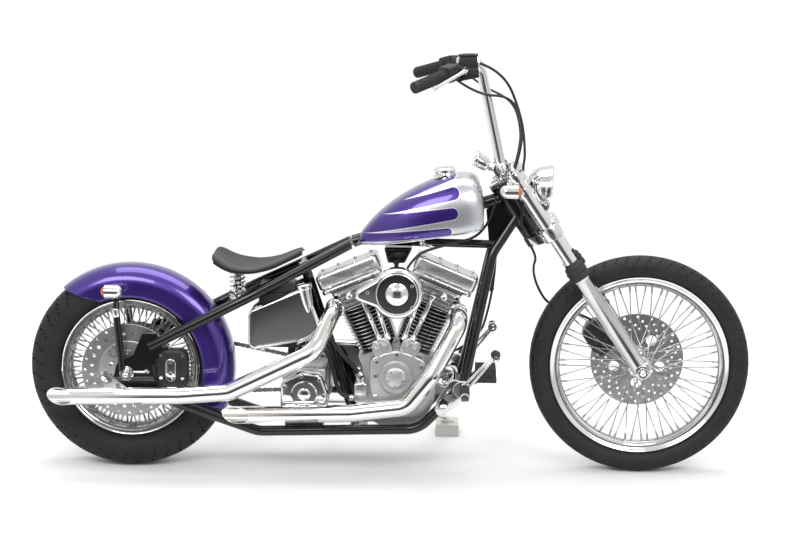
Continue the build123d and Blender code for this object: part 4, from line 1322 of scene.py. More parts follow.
    def build_cam_cover(self) -> None:
        """Extrudes the cam cover, turns its raised face and screws it down."""
        side = [
            (748, 304), (748, 360), (756, 374), (790, 388), (831, 399), (872, 387), (909, 370), (922, 358),
            (924, 338),
            (908, 306), (894, 276), (872, 244), (856, 236), (780, 236), (756, 240), (749, 254)
        ]
        cover = Bench.slab(side, -72, -120, 7, 4)
        rings = [
            (-10, 0), (-10, 52), (10, 52), (13, 49), (13, 41), (11, 39), (11, 34), (14, 32), (16, 29), (16, 0)
        ]
        face = Bench.lathe(rings, (828, -118, 313), -ACROSS, 64)
        deliver([cover, face], "cam_case", "engine_aluminium", "cam_cover")
        heads = []
        for x, z in ((766, 318), (770, 362), (831, 386), (908, 348), (766, 258), (858, 250)):
            at = Vector((x, -118, z))
            section = [(0, 6.5), (6, 6.5), (7.5, 5), (7.5, 2.8), (4, 2.8), (4, 0)]
            heads.append(Bench.lathe(section, at, -ACROSS, 18))
        centre = Vector((828, -134, 313))
        screw = Bench.lathe(
            [(0, 3.4), (2.4, 3.4), (3, 2.6), (3, 0)], centre + Vector((24, 0, 0)), -ACROSS, 12
        )
        heads.append(Bench.repeat(screw, spun(centre, 5, 18)))
        deliver(heads, "cam_case_screws", "chrome")

    def build_push_rods(self) -> None:
        """Turns the push rod tubes with their collars, and stands them on the tappet blocks."""
        # bank, foot ahead of the crank, foot above the crank, top across the head
        table = ((-1, -50, 166, 11), (-1, -25, 170, 49), (1, 25, 170, -49), (1, 50, 166, -11))
        tubes = []
        for bank, foot_x, foot_z, across in table:
            foot = Vector((CRANK.x + foot_x, -106, CRANK.z + foot_z))
            top = cylinder_point(bank, across, -84, self.base + self.height + 28)
            long = (top - foot).length
            profile = [
                (-4, 0), (-4, 11), (8, 11), (10, 9.5), (14, 9.5), (16, 7), (long * 0.42, 7),
                (long * 0.42 + 2, 8.6),
                (long * 0.5, 8.6), (long * 0.5 + 2, 7.4), (long - 14, 7.4), (long - 12, 9), (long, 9),
                (long, 0)
            ]
            tubes.append(Bench.lathe(profile, foot, top - foot, 28))
        deliver(tubes, "push_rods", "chrome", "push_rod_tubes", angle=40)
        blocks = []
        for way in (-1, 1):
            across, up = self.axes(way)
            middle = cylinder_point(way, way * -14, -80, 142)
            blocks.append(
                Bench.plate(rounded_box(middle, across, up, (29, 27), 9), Vector((0, -38, 0)), 4, 3)
            )
            for shift in (-13, 13):
                at = middle + across * shift - ACROSS * 30 + up * 8
                blocks.append(Bench.rod(at, at + up * 26, 12.5, 28, 3))
                screw = middle + across * shift * 1.5 - ACROSS * 38 - up * 12
                blocks.append(Bench.rod(screw, screw - ACROSS * 4, 4.5, 16, 1))
        deliver(blocks, "tappet_blocks", "engine_aluminium")

    def build_air_cleaner(self) -> None:
        """Builds the teardrop air cleaner with its face darkened as a painted dark reflection, its chrome
        dome and screws.
        """
        x, z = self.cleaner
        radius = 77.0
        outline = []
        for step in range(49):
            turn = math.radians(-146 + step * 292 / 48)
            outline.append((x + radius * math.cos(turn), z + radius * math.sin(turn)))
        outline += [(716, 604), (708, 596), (705, 586), (707, 577), (714, 568)]
        body = Bench.slab(outline, -165, -221, 13, 5)
        flat = Vector((x, -221, z))
        deliver(body, "air_cleaner_shell", "chrome", "air_cleaner", angle=45)
        face = Bench.lathe([(-1, 0), (-1, 61), (1.2, 60), (1.6, 58), (1.2, 34), (1.2, 0)], flat, -ACROSS, 64)
        # the face is chrome darkened as a painted dark reflection
        deliver(face, "air_cleaner_face", "dark_reflection_chrome", angle=40)
        dome = Bench.lathe(
            [(0, 34), (2.5, 34), (3.5, 32), (5, 28), (9, 24), (12.5, 15), (13.8, 6), (14, 0)], flat,
            -ACROSS, 48
        )
        rings = [(0, 63.5), (1.8, 63), (2.6, 61.5), (2.2, 60), (0, 59.5)]
        ring = Bench.lathe(rings, flat, -ACROSS, 64, closed=True)
        screws = []
        for dx, dz in ((45, 25), (46, -40), (-88, 4)):
            at = flat + Vector((dx, 0.5, dz))
            screws.append(Bench.lathe([(0, 5), (2.4, 5), (3.6, 3.6), (3.6, 0)], at, -ACROSS, 16))
        deliver([dome, ring, *screws], "air_cleaner_trim", "chrome")

    def build_carburettor(self) -> None:
        """Builds the carburettor body, its bowl and the manifold, with the throttle cables' lower run."""
        z = self.cleaner[1] - 12
        steps = [
            (70, 0), (70, 27), (82, 27), (84, 33), (92, 33), (94, 27), (136, 27), (140, 34), (150, 34),
            (152, 26), (165, 26), (165, 0)
        ]
        body = Bench.lathe(steps, (830, 0, z), -ACROSS, 40)
        bowl = Bench.lathe(
            [(0, 0), (0, 24), (4, 26), (10, 26), (12, 23), (34, 23), (36, 20), (36, 0)],
            (830, -114, z - 18), (0, 0, -1), 32
        )
        top = Bench.lathe([(0, 0), (0, 20), (30, 20), (33, 17), (33, 0)], (832, -118, z + 10), (0, 0, 1), 28)
        left = cylinder_point(-1, self.head_half - 11, 0, self.base + self.height + 32)
        right = cylinder_point(1, 11 - self.head_half, 0, self.base + self.height + 32)
        neck = Bench.rod((830, -72, z), (830, 4, z), 24, 32, 2)
        runner = Bench.rod(left, right, 20, 32, 1)
        deliver([body, bowl, top, neck, runner], "carburettor_body", "engine_aluminium", "carburettor")
        cables = []
        for shift in (0, -9):
            route = [(1128, -46, 865), (1110, -42, 748), (960, -66, 716), (872, -108, 690), (836, -118, 604)]
            places = [Vector((x, y + shift, height)) for x, y, height in route]
            cables.append(Bench.cable(places, self.cable_r))
        deliver(cables, "throttle_cables_lower", "braided_hose", angle=60)

    def build_oil_pump(self) -> None:
        """Builds the oil pump block and its fittings behind the cam cover."""
        block = Bench.slab(
            [(700, 232), (700, 286), (728, 292), (740, 284), (740, 228), (716, 222)], -60, -104, 4, 3
        )
        fittings = []
        for x, height in ((712, 286), (726, 288)):
            fittings.append(Bench.rod((x, -88, height - 4), (x, -88, height + 14), 6, 12, 1))
        deliver([block, *fittings], "oil_pump", "brushed_aluminium", slot="engine_aluminium")


@dataclass
class Exhausts:
    """The two slash-cut pipes."""

    radius: float = 27.0
    wall: float = 2.0
    slash: float = 90.0

    def routes(self) -> list[tuple[list[Vector], float]]:
        """Lists the two pipes.

        Returns:
            Each pipe's corners from its open end to its port, and its bends' radius.
        """
        rear = [
            Vector((-240, -190, 255)), Vector((170, -190, 263)), Vector((322, -190, 276)),
            Vector((583, -190, 405)),
            cylinder_point(-1, -92, -100, 300), cylinder_point(-1, -60, -30, 316)
        ]
        front = [
            Vector((296, -172, 199)), Vector((691, -172, 211)), Vector((862, -172, 232)),
            Vector((935, -168, 325)),
            cylinder_point(1, 96, -110, 291), cylinder_point(1, 60, -40, 310)
        ]
        return [(rear, 75.0), (front, 62.0)]

    def build(self) -> None:
        """Bends both pipes, bores and slashes their ends, and clamps them to the heads."""
        pipes = []
        clamps = []
        for points, bend in self.routes():
            pipe = Bench.pipe(points, self.radius, bend, 48)
            tip = points[0]
            bore = Bench.rod(
                tip - Vector((20, 0, 0)), tip + Vector((300, 0, 2.3)), self.radius - self.wall, 48, 1
            )
            Bench.cut(pipe, bore)
            low = [(tip.x - 30, -300), (tip.x - 30, tip.y + self.radius), (tip.x, tip.y + self.radius)]
            low += [(tip.x + self.slash, tip.y - self.radius), (tip.x + self.slash, -300)]
            wedge = Bench.plate([Vector((x, y, tip.z - 60)) for x, y in low], Vector((0, 0, 120)))
            Bench.cut(pipe, wedge)
            pipes.append(pipe)
            port = points[-1]
            way = (points[-1] - points[-2]).normalized()
            ring = [
                (-44, self.radius - 3), (-44, self.radius + 3), (-42, self.radius + 4.5),
                (-36, self.radius + 4.5),
                (-34, self.radius + 3), (-34, self.radius - 3)
            ]
            clamps.append(Bench.lathe(ring, port, way, 40, closed=True))
        deliver(pipes, "slash_cut_pipes", "pipe_chrome", "exhaust_pipes", slot="chrome", angle=40)
        deliver(clamps, "port_clamps", "chrome", angle=40)


@dataclass
class Bodywork:
    """Tank, fender, seat and what carries them."""

    fender_r: float = 326.0
    fender_half: float = 76.0
    skirt_r: float = 229.0
    wall: float = 3.0
    coil_r: float = 17.0
    coil_height: float = 76.0
    coil_turns: float = 5.5
    coil_steps: int = 20

    def build(self) -> None:
        """Builds and dresses the painted and padded pieces."""
        self.build_tank()
        self.build_cap()
        self.build_fender()
        self.build_seat()
        self.build_springs()

    def build_tank(self) -> None:
        """Lofts the crowned tank, cuts its tunnel, and adds its seams and the fuel tap."""
        # x, half width, bottom z, top z
        sections = (
            (703, 24, 705, 714), (709, 33, 708, 734), (722, 46, 711, 758), (748, 65, 714, 789),
            (773, 80, 717, 814),
            (810, 95, 722, 844), (849, 106, 728, 870), (888, 113, 734, 892), (926, 118, 742, 910),
            (987, 121, 752, 931),
            (1030, 119, 758, 936), (1054, 116, 763, 934), (1070, 112, 766, 925), (1081, 107, 768, 907),
            (1088, 102, 771, 884), (1092, 96, 777, 858),
        )
        # share of the half width, share of the height
        shape = (
            (0.0, 0.0), (0.45, 0.0), (0.80, 0.0), (0.93, 0.03), (0.99, 0.12), (1.0, 0.24), (1.0, 0.42),
            (0.975, 0.56)
        )
        shape += (
            (0.92, 0.70), (0.83, 0.81), (0.70, 0.895), (0.53, 0.955), (0.34, 0.985), (0.16, 0.998), (0.0, 1.0)
        )
        rings = []
        for x, half, low, high in sections:
            right = [Vector((x, -half * wide, low + (high - low) * tall)) for wide, tall in shape]
            left = [Vector((p.x, -p.y, p.z)) for p in reversed(right[1:-1])]
            rings.append(right + left)
        tank = Bench.loft(rings)
        Bench.soften(tank, 5, 3, 55)
        tunnel = Bench.plate(
            [Vector((640, y, z)) for y, z in ((-24, 650), (-24, 716), (0, 728), (24, 716), (24, 650))],
            Vector((480, 0, 118)),
        )
        Bench.cut(tank, tunnel)
        deliver(tank, "painted_tank", "scallop_paint", "fuel_tank", slot="purple_paint", angle=32)
        seams = []
        for side in (-1, 1):
            route = [
                Vector((x, side * (half * 0.93 + 1.2), low + 1.5)) for x, half, low, high in sections[3:-3]
            ]
            seams.append(Bench.pipe(route, 1.6, 200, 10))
        deliver(seams, "tank_seams", "scallop_paint", slot="purple_paint", angle=60)
        petcock = Bench.rod((905, -60, 742), (905, -60, 716), 9, 20, 1.5)
        lever = Bench.rod((899, -62, 722), (936, -66, 712), 5, 16, 2)
        nut = Bench.lathe([(0, 0), (0, 12), (8, 12), (9, 10), (9, 0)], (905, -60, 744), (0, 0, -1), 6)
        deliver([petcock, lever, nut], "petcock", "chrome")

    def build_cap(self) -> None:
        """Turns the filler neck and its domed cap."""
        way = Vector((-3, 0, 28)).normalized()
        foot = Vector((972, 0, 924))
        profile = [
            (0, 0), (0, 38), (4, 38), (5, 34), (9, 33), (11, 34), (20, 34), (24, 31), (27, 22), (28, 10),
            (28, 0)
        ]
        cap = Bench.lathe(profile, foot, way, 60)
        deliver(cap, "filler_cap", "chrome", "tank_cap")

    def build_fender(self) -> None:
        """Sweeps the fender's crowned section round the wheel, gives it a wall and trims its tail."""
        flank = [
            (self.skirt_r, 1.0), (self.skirt_r + 14, 1.0), (self.skirt_r + 28, 1.0), (self.fender_r - 58, 1.0)
        ]
        half_arc = []
        for step in range(1, 9):
            turn = math.radians(90 * step / 9)
            half_arc.append((self.fender_r - 58 + 58 * math.sin(turn), math.cos(turn) ** 0.82))
        section = flank + half_arc
        outline = [(r, -w * self.fender_half) for r, w in section] + [(self.fender_r, 0)]
        outline += [(r, w * self.fender_half) for r, w in reversed(section)]
        first, last = -24.0, 132.0
        count = 66
        out = Vector((math.cos(math.radians(first)), 0, math.sin(math.radians(first))))
        strip = Bench.line([REAR_AXLE + out * r + ACROSS * y for r, y in outline])
        bpy.ops.mesh.spin(
            steps=count,
            angle=math.radians(last - first),
            center=REAR_AXLE,
            axis=(0, 1, 0),
        )
        bpy.ops.object.mode_set(mode="OBJECT")
        cuts = []
        for reach, degrees in (
            (self.fender_r + 40, 150), (self.fender_r + 3, 130.5), (self.skirt_r + 28, 120),
            (self.skirt_r - 8, 108), (60, 150)
        ):
            turn = math.radians(degrees)
            cuts.append(Vector((reach * math.cos(turn), -120, REAR_AXLE.z + reach * math.sin(turn))))
        Bench.modify(strip, "SOLIDIFY", thickness=self.wall, offset=-1)
        Bench.cut(strip, Bench.plate(cuts, Vector((0, 240, 0))))
        Bench.take(strip)
        bpy.ops.object.mode_set(mode="EDIT")
        Bench.close(0.02)
        Bench.soften(strip, 0.8, 2, 60)
        deliver(strip, "painted_fender", "purple_paint", "rear_fender")

    def build_seat(self) -> None:
        """Pads the solo seat and pipes its edge."""
        # x, half width, bottom z, top z
        sections = (
            (257, 78, 662, 676), (268, 112, 648, 676), (284, 123, 638, 666), (306, 130, 627, 651),
            (332, 133, 620, 641),
            (360, 130, 619, 637), (388, 121, 620, 636), (416, 105, 625, 643), (444, 87, 631, 652),
            (472, 75, 645, 662),
            (500, 66, 658, 677), (522, 56, 668, 686), (536, 44, 676, 690),
        )
        shape = (
            (0.0, 0.0), (0.6, 0.0), (0.92, 0.02), (1.0, 0.25), (1.0, 0.6), (0.95, 0.88), (0.8, 1.0),
            (0.4, 0.96), (0.0, 0.92)
        )
        rings = []
        for x, half, low, high in sections:
            low += 3
            lift = 10 * (half / 133) ** 2
            right = []
            for wide, tall in shape:
                up = lift * wide * wide
                right.append(Vector((x, -half * wide, low + (high - low) * tall + up)))
            left = [Vector((p.x, -p.y, p.z)) for p in reversed(right[1:-1])]
            rings.append(right + left)
        pad = Bench.loft(rings)
        Bench.modify(pad, "SUBSURF", levels=2, render_levels=2)
        deliver(pad, "solo_seat_pad", "black_vinyl", "seat", angle=60)
        rim = []
        for side in (-1, 1):
            route = []
            for x, half, low, high in sections[1:]:
                level = low + (high - low) * 0.22 + 10 * (half / 133) ** 2
                route.append(Vector((x, side * (half * 0.985), level)))
            rim.append(Bench.pipe(route, 2.2, 400, 10))
        deliver(rim, "seat_piping", "black_vinyl", angle=60)

    def build_springs(self) -> None:
        """Winds the two seat springs and turns their posts."""
        pieces = []
        for side in (-1, 1):
            foot = Vector((331, side * 60, 547))
            route = []
            steps = int(self.coil_turns * self.coil_steps)
            for step in range(steps + 1):
                turn = math.tau * step / self.coil_steps
                rise = self.coil_height * step / steps
                x, y = self.coil_r * math.cos(turn), self.coil_r * math.sin(turn)
                route.append(foot + Vector((x, y, rise)))
            pieces.append(Bench.wire(route, 3.0, 10))
            pieces.append(Bench.rod((331, side * 60, 535), (331, side * 60, 622), 6, 20, 1))
            pieces.append(Bench.rod((331, side * 60, 541), (331, side * 60, 548), 19, 28, 2))
        deliver(pieces, "coil_springs", "chrome", "seat_springs", angle=50)


@dataclass
class FrontEnd:
    """The fork's legs, clamps and caliper, the headlight and the gauges."""

    half: float = 100.0
    slider_r: float = 27.0
    lower_clamp: float = 512.0
    upper_clamp: float = 711.0
    lamp_r: float = 73.0
    disc_gap_r: float = 154.0
    gauge_y: float = 28.0

    def build(self) -> None:
        """Builds and dresses the front end."""
        self.build_legs()
        self.build_clamps()
        self.build_caliper()
        self.build_headlight()
        self.build_gauges()

    def build_legs(self) -> None:
        """Turns the lower legs with their axle bosses, and the rubber boots at their tops."""
        legs = []
        boots = []
        nuts = []
        for side in (-1, 1):
            foot = fork_point(0, side * self.half, 0)
            r = self.slider_r
            steps = [
                (-26, 0), (-26, 18), (-24, 22), (-19, 25.5), (-12, r), (26, r), (29, r - 0.8), (336, r - 0.8),
                (339, r + 1), (343, r + 3.5), (352, r + 4), (356, r + 3), (358, r), (358, 0)
            ]
            legs.append(Bench.lathe(steps, foot, LEG, 48))
            boss = Bench.rod(FRONT_AXLE + ACROSS * side * 71, FRONT_AXLE + ACROSS * side * 129, 22, 40, 3)
            drain = Bench.rod(
                fork_point(-22, side * self.half, 24), fork_point(-31, side * self.half, 24), 5, 12, 1
            )
            legs += [boss, drain]
            for along in (236, 262):
                lug_at = fork_point(24, side * 84, along)
                ring = [(0, 4), (0, 9), (2, 10), (14, 10), (16, 9), (16, 4)]
                legs.append(Bench.lathe(ring, lug_at, -ACROSS * side, 24, closed=True))
            boot = [
                (344, 20), (344, r + 5), (348, r + 6.5), (358, r + 6.5), (361, r + 4.5), (365, r + 4.5),
                (368, r + 6),
                (375, r + 6), (378, r + 3.5), (382, r + 3.5), (385, r + 4), (390, r + 2), (394, r - 3),
                (402, r - 4.5), (402, 20)
            ]
            boots.append(Bench.lathe(boot, foot, LEG, 40, closed=True))
            end = FRONT_AXLE + ACROSS * side * 129
            section = [(0, 0), (0, 16), (2, 17), (12, 17), (14, 15), (14, 0)]
            nuts.append(Bench.lathe(section, end, ACROSS * side, 6))
            nuts.append(Bench.lathe([(13, 0), (13, 10), (18, 9), (21, 5), (22, 0)], end, ACROSS * side, 24))
            for along in (-14, 14):
                at = fork_point(16, side * (self.half + 16), along)
                nuts.append(Bench.lathe([(-14, 0), (-14, 5), (12, 5), (13, 4), (13, 0)], at, AHEAD, 12))
        deliver(legs, "fork_lower_legs", "polished_steel", "fork_sliders", body=Body.STEERING)
        deliver(boots, "fork_dust_boots", "grip_rubber", body=Body.STEERING, angle=50)
        deliver(nuts, "front_axle_nuts", "chrome", body=Body.STEERING)

    def build_clamps(self) -> None:
        """Turns the fork's top caps, the clamps' collars, the stem nut and the pinch bolts."""
        pieces = []
        for side in (-1, 1):
            cap = [(0, 0), (0, 20), (3, 20), (4, 18), (4, 14), (12, 14), (14, 12), (14, 0)]
            pieces.append(Bench.lathe(cap, fork_point(0, side * self.half, 727), LEG, 24))
            for along in (self.lower_clamp, self.upper_clamp):
                at = fork_point(-24, side * (self.half + 14), along)
                section = [(-16, 0), (-16, 6), (5, 6), (6, 5), (6, 3), (2, 3), (2, 0)]
                pieces.append(Bench.lathe(section, at, -AHEAD, 16))
                collar = [(-9, 20.6), (-11, 27), (-10, 29), (-7, 30), (7, 30), (10, 29), (11, 27), (9, 20.6)]
                if along == self.lower_clamp:
                    collar = [(a * 1.9, r + 4) for a, r in collar]
                pieces.append(
                    Bench.lathe(collar, fork_point(0, side * self.half, along), LEG, 40, closed=True)
                )
        nut = [(0, 0), (0, 23), (3, 24), (9, 24), (12, 21), (12, 12), (18, 11), (20, 8), (20, 0)]
        pieces.append(Bench.lathe(nut, fork_point(-55, 0, 721), LEG, 6))
        deliver(pieces, "clamp_collars", "chrome", body=Body.STEERING)

    def build_caliper(self) -> None:
        """Builds the front caliper over the disc, with its pistons' bosses and bolts."""
        side = [
            (1408, 420), (1414, 440), (1432, 464), (1456, 470), (1476, 462), (1512, 392), (1494, 370),
            (1470, 352), (1442, 370)
        ]
        body = Bench.slab(side, 33, 92, 6, 3)
        gap = Bench.rod(FRONT_AXLE + ACROSS * 51, FRONT_AXLE + ACROSS * 69, self.disc_gap_r, 96, 0.5)
        Bench.cut(body, gap)
        pieces = [body]
        for x, z in ((1446, 432), (1472, 394)):
            for face, way in ((91, 1), (34, -1)):
                steps = [(0, 0), (0, 20), (4, 20), (6, 18), (6, 13), (4, 12), (4, 0)]
                pieces.append(Bench.lathe(steps, (x, face, z), ACROSS * way, 32))
        deliver(pieces, "front_caliper_body", "caliper_black", "front_caliper", body=Body.STEERING)
        bolts = []
        for x, z in ((1426, 448), (1460, 462), (1500, 384)):
            section = [(0, 0), (0, 6), (5, 6), (6, 5), (6, 3), (3, 3), (3, 0)]
            bolts.append(Bench.lathe(section, (x, 91, z), ACROSS, 18))
        deliver(bolts, "front_caliper_bolts", "chrome", body=Body.STEERING)

    def build_headlight(self) -> None:
        """Turns the headlight's bullet with its reflector, its fluted glass and its bulb."""
        tilt = math.radians(7)
        lamp = Vector((1286, 0, 887))
        way = Vector((math.cos(tilt), 0, -math.sin(tilt)))
        up = Vector((math.sin(tilt), 0, math.cos(tilt)))
        turns = [math.radians(step * 10) for step in range(10)]
        curve = [(-10 - 56 * math.cos(turn), 68 * math.sin(turn)) for turn in turns]
        shell = curve + [(-8, 68.5), (-7, 71.5), (-4, 73), (8, 73), (11, 71.5), (12, 69), (10, 66), (7, 65)]
        shell += [(0, 62), (-10, 55), (-22, 44), (-32, 30), (-38, 16), (-40, 0)]
        bullet = Bench.lathe(shell, lamp, way, 64)
        base = lamp - way * 30 - up * 50
        stalk = Bench.rod(base, fork_point(16, 0, 526), 9, 24, 1)
        foot = Bench.lathe(
            [(0, 0), (0, 17), (5, 16), (14, 11), (18, 10), (18, 0)], fork_point(16, 0, 524),
            (base - fork_point(16, 0, 526)), 28
        )
        screw = Bench.rod(lamp - up * 75 + way * 2, lamp - up * 66 + way * 2, 4, 12, 1)
        deliver(
            [bullet, stalk, foot, screw], "headlight_shell", "chrome", "headlight", body=Body.STEERING
        )
        glass = [
            (18, 0), (17.2, 30), (14.4, 50), (10.6, 62), (8.4, 64.5), (7.6, 62), (11.6, 50), (14.6, 30),
            (15.6, 0)
        ]
        lens = Bench.lathe(glass, lamp, way, 64)
        deliver(lens, "headlight_glass", "clear_glass", "headlight_lens", body=Body.STEERING, angle=50)
        bulb = [(-40, 0), (-40, 9), (-30, 9), (-28, 6), (-14, 6), (-10, 5), (-7, 3), (-6, 0)]
        deliver(
            Bench.lathe(bulb, lamp, way, 24), "headlight_bulb", "polished_steel", body=Body.STEERING, angle=40
        )

    def build_gauges(self) -> None:
        """Turns the two gauge cups, with pale dials, ticks, needles and glasses."""
        way = Vector((-40, 0, 23)).normalized()
        over = way.cross(ACROSS).normalized()
        cups = []
        dials = []
        marks = []
        glasses = []
        for side in (-1, 1):
            base = Vector((1104, side * self.gauge_y, 957))
            cup = [
                (0, 0), (0, 12), (2, 16), (6, 18.5), (12, 19.5), (36, 20), (38, 22.5), (40, 23), (45, 23),
                (46.4, 21.8), (46, 20.4), (43, 19.6), (43, 0)
            ]
            cups.append(Bench.lathe(cup, base, way, 40))
            y = side * self.gauge_y
            cups.append(Bench.rod((1098, y, 960), (1138, y, 938), 7, 20, 1))
            dials.append(Bench.lathe([(43, 0), (43, 19.5), (43.7, 19.5), (43.9, 0)], base, way, 40))
            face = base + way * 43.8
            corners = [
                face + over * r + ACROSS * w for r, w in ((14, -0.5), (17.5, -0.5), (17.5, 0.5), (14, 0.5))
            ]
            marks.append(Bench.repeat(Bench.plate(corners, way * 0.5), spun(face, 16, 0, way)))
            hand = [face + over * r + ACROSS * w for r, w in ((-4, -1.0), (13, -0.3), (13, 0.3), (-4, 1.0))]
            marks.append(Bench.repeat(Bench.plate(hand, way * 0.8), spun(face, 1, 140, way)))
            section = [(45, 0), (45, 20.6), (45.6, 20.6), (46.2, 12), (46.4, 0)]
            glasses.append(Bench.lathe(section, base, way, 40))
        cups.append(Bench.rod((1108, -self.gauge_y, 948), (1108, self.gauge_y, 948), 5, 16, 1))
        deliver(cups, "gauge_cups", "chrome", "gauges", body=Body.STEERING)
        deliver(dials, "gauge_dials", "pale_dial", body=Body.STEERING, slot="brushed_steel", angle=40)
        deliver(marks, "gauge_marks", "black_plastic", body=Body.STEERING, angle=40)
        deliver(glasses, "gauge_glasses", "clear_glass", body=Body.STEERING, angle=40)


@dataclass
class Controls:
    """What the rider's hands hold: ribbed grips, housings, levers, cylinder, hose and cables."""

    grip: float = 126.0
    grip_r: float = 18.0
    housing_r: float = 24.0
    hose_r: float = 4.0
    cable_r: float = 3.5

    def build(self) -> None:
        """Builds and dresses the hand controls."""
        grips = []
        housings = []
        levers = []
        bend = Vector((1070, 105, 1284))
        tip = Vector((877, 290, 1216))
        for side in (-1, 1):
            end = Vector((tip.x, side * tip.y, tip.z))
            way = (end - Vector((bend.x, side * bend.y, bend.z))).normalized()
            grips.append(self.ribbed(end - way * self.grip, way))
            fore = Vector((abs(way.y), -way.x * math.copysign(1, way.y), 0)).normalized()
            rise = fore.cross(way).normalized()
            rise = rise if rise.z > 0 else -rise
            at = end - way * (self.grip + 1)
            box = rounded_box(at, fore, rise, (self.housing_r, self.housing_r), 9)
            housings.append(Bench.plate(box, -way * 42, 3, 3))
            housings.append(Bench.rod(at - way * 44, at - way * 66, 20, 32, 2.5))
            for shift in (-12, 12):
                head = at - way * 21 + fore * shift - rise * (self.housing_r + 2)
                levers.append(Bench.rod(head, head + rise * 8, 3.4, 12, 0.8))
            button = at - way * 14 - fore * (self.housing_r - 3) + rise * 4
            housings.append(Bench.rod(button, button - fore * 7, 5, 16, 1))
            pivot = at - way * 55 + fore * 34
            housings.append(Bench.rod(at - way * 55 + fore * 6, pivot + fore * 7, 11, 24, 2))
            levers.append(Bench.rod(pivot - rise * 11, pivot + rise * 11, 5, 16, 1))
            far = end - way * 20 + fore * 62 - Vector((0, 0, 6))
            long = (far - pivot).length
            blade = [
                (-8, 0), (-8, 7), (4, 8.5), (16, 7), (30, 5.6), (long - 24, 4.8), (long - 15, 5.2),
                (long - 9, 7.6), (long - 3, 7.6), (long, 5), (long, 0)
            ]
            levers.append(Bench.lathe(blade, pivot, far - pivot, 20))
        deliver(grips, "ribbed_grips", "grip_rubber", "grips", body=Body.STEERING, angle=30)
        cup = Bench.slab([(1004, 1262), (1010, 1300), (1062, 1302), (1066, 1268)], -173, -129, 4, 3)
        lid = Bench.slab([(1007, 1300), (1008, 1307), (1064, 1309), (1065, 1302)], -176, -126, 1.8, 2)
        switch = Bench.slab([(998, 1264), (1066, 1270), (1070, 1240), (1006, 1226)], -176, -128, 4, 3)
        housings += [cup, lid, switch]
        for y in (-168, -134):
            for x in (1014, 1058):
                levers.append(Bench.rod((x, y, 1304), (x, y, 1309.5), 3, 12, 0.6))
        deliver(housings, "control_housings", "black_plastic", "hand_controls", body=Body.STEERING)
        deliver(levers, "hand_levers", "chrome", body=Body.STEERING, angle=40)
        self.build_cables()

    def ribbed(self, start: Vector, way: Vector) -> Piece:
        """Turns one grip with its flange and its ribs.

        Args:
            start: The middle of its inner end.
            way: The direction to its outer end.

        Returns:
            The grip.
        """
        r = self.grip_r
        profile = [(0, 0), (0, 19), (1, 21.5), (4, 21.5), (5, r)]
        for rib in range(18):
            low = 9 + rib * 6
            profile += [(low, r), (low + 0.8, r - 1.4), (low + 2.2, r - 1.4), (low + 3, r)]
        profile += [(self.grip - 4, r), (self.grip - 1, r - 1), (self.grip, 14), (self.grip, 0)]
        return Bench.lathe(profile, start, way, 32)

    def build_cables(self) -> None:
        """Draws the brake hose, and the throttle and clutch cables down to the upper clamp."""
        bar = ((1056, -146, 1284), (1140, -140, 1262), (1200, -118, 1120), (1214, -88, 1000))
        brake = [Vector(p) for p in bar]
        brake += [
            fork_point(34, -58, 722), fork_point(-5, -62, 650), fork_point(-76, -64, 572),
            fork_point(-76, -60, 470)
        ]
        low = ((1246, -4, 640), (1262, 50, 575), (1302, 66, 508), (1400, 72, 484), (1452, 70, 456))
        brake += [Vector(p) for p in low]
        top = fork_point(4, 0, 722)
        throttle = [
            (985, -188, 1246), (1060, -150, 1186), (1170, -96, 1180), (1206, -60, 1090), (1200, -36, 1000)
        ]
        clutch = [(1006, 168, 1250), (1075, 150, 1190), (1180, 110, 1150), (1206, 70, 1060), (1198, 36, 995)]
        cables = [Bench.cable([Vector(p) for p in clutch] + [top + ACROSS * 22], self.cable_r)]
        fittings = [Bench.rod(brake[0] - Vector((10, 0, -2)), brake[0] + Vector((14, 0, -3)), 6.5, 20, 1)]
        fittings.append(Bench.rod(brake[-1] + Vector((0, 0, 8)), brake[-1] - Vector((0, 0, 6)), 6.5, 20, 1))
        for y in (0, -9):
            route = [Vector((x, side + y, z)) for x, side, z in throttle]
            cables.append(Bench.cable(route + [top + ACROSS * (y - 22)], self.cable_r))
        for y in (22, -22, -31):
            at = top + ACROSS * y
            fittings.append(Bench.rod(at - LEG * 2, at + LEG * 16, 5, 16, 1))
        deliver(Bench.cable(brake, self.hose_r), "brake_hose", "braided_hose", body=Body.STEERING, angle=60)
        deliver(cables, "control_cables", "braided_hose", body=Body.STEERING, angle=60)
        deliver(fittings, "cable_fittings", "chrome", body=Body.STEERING)


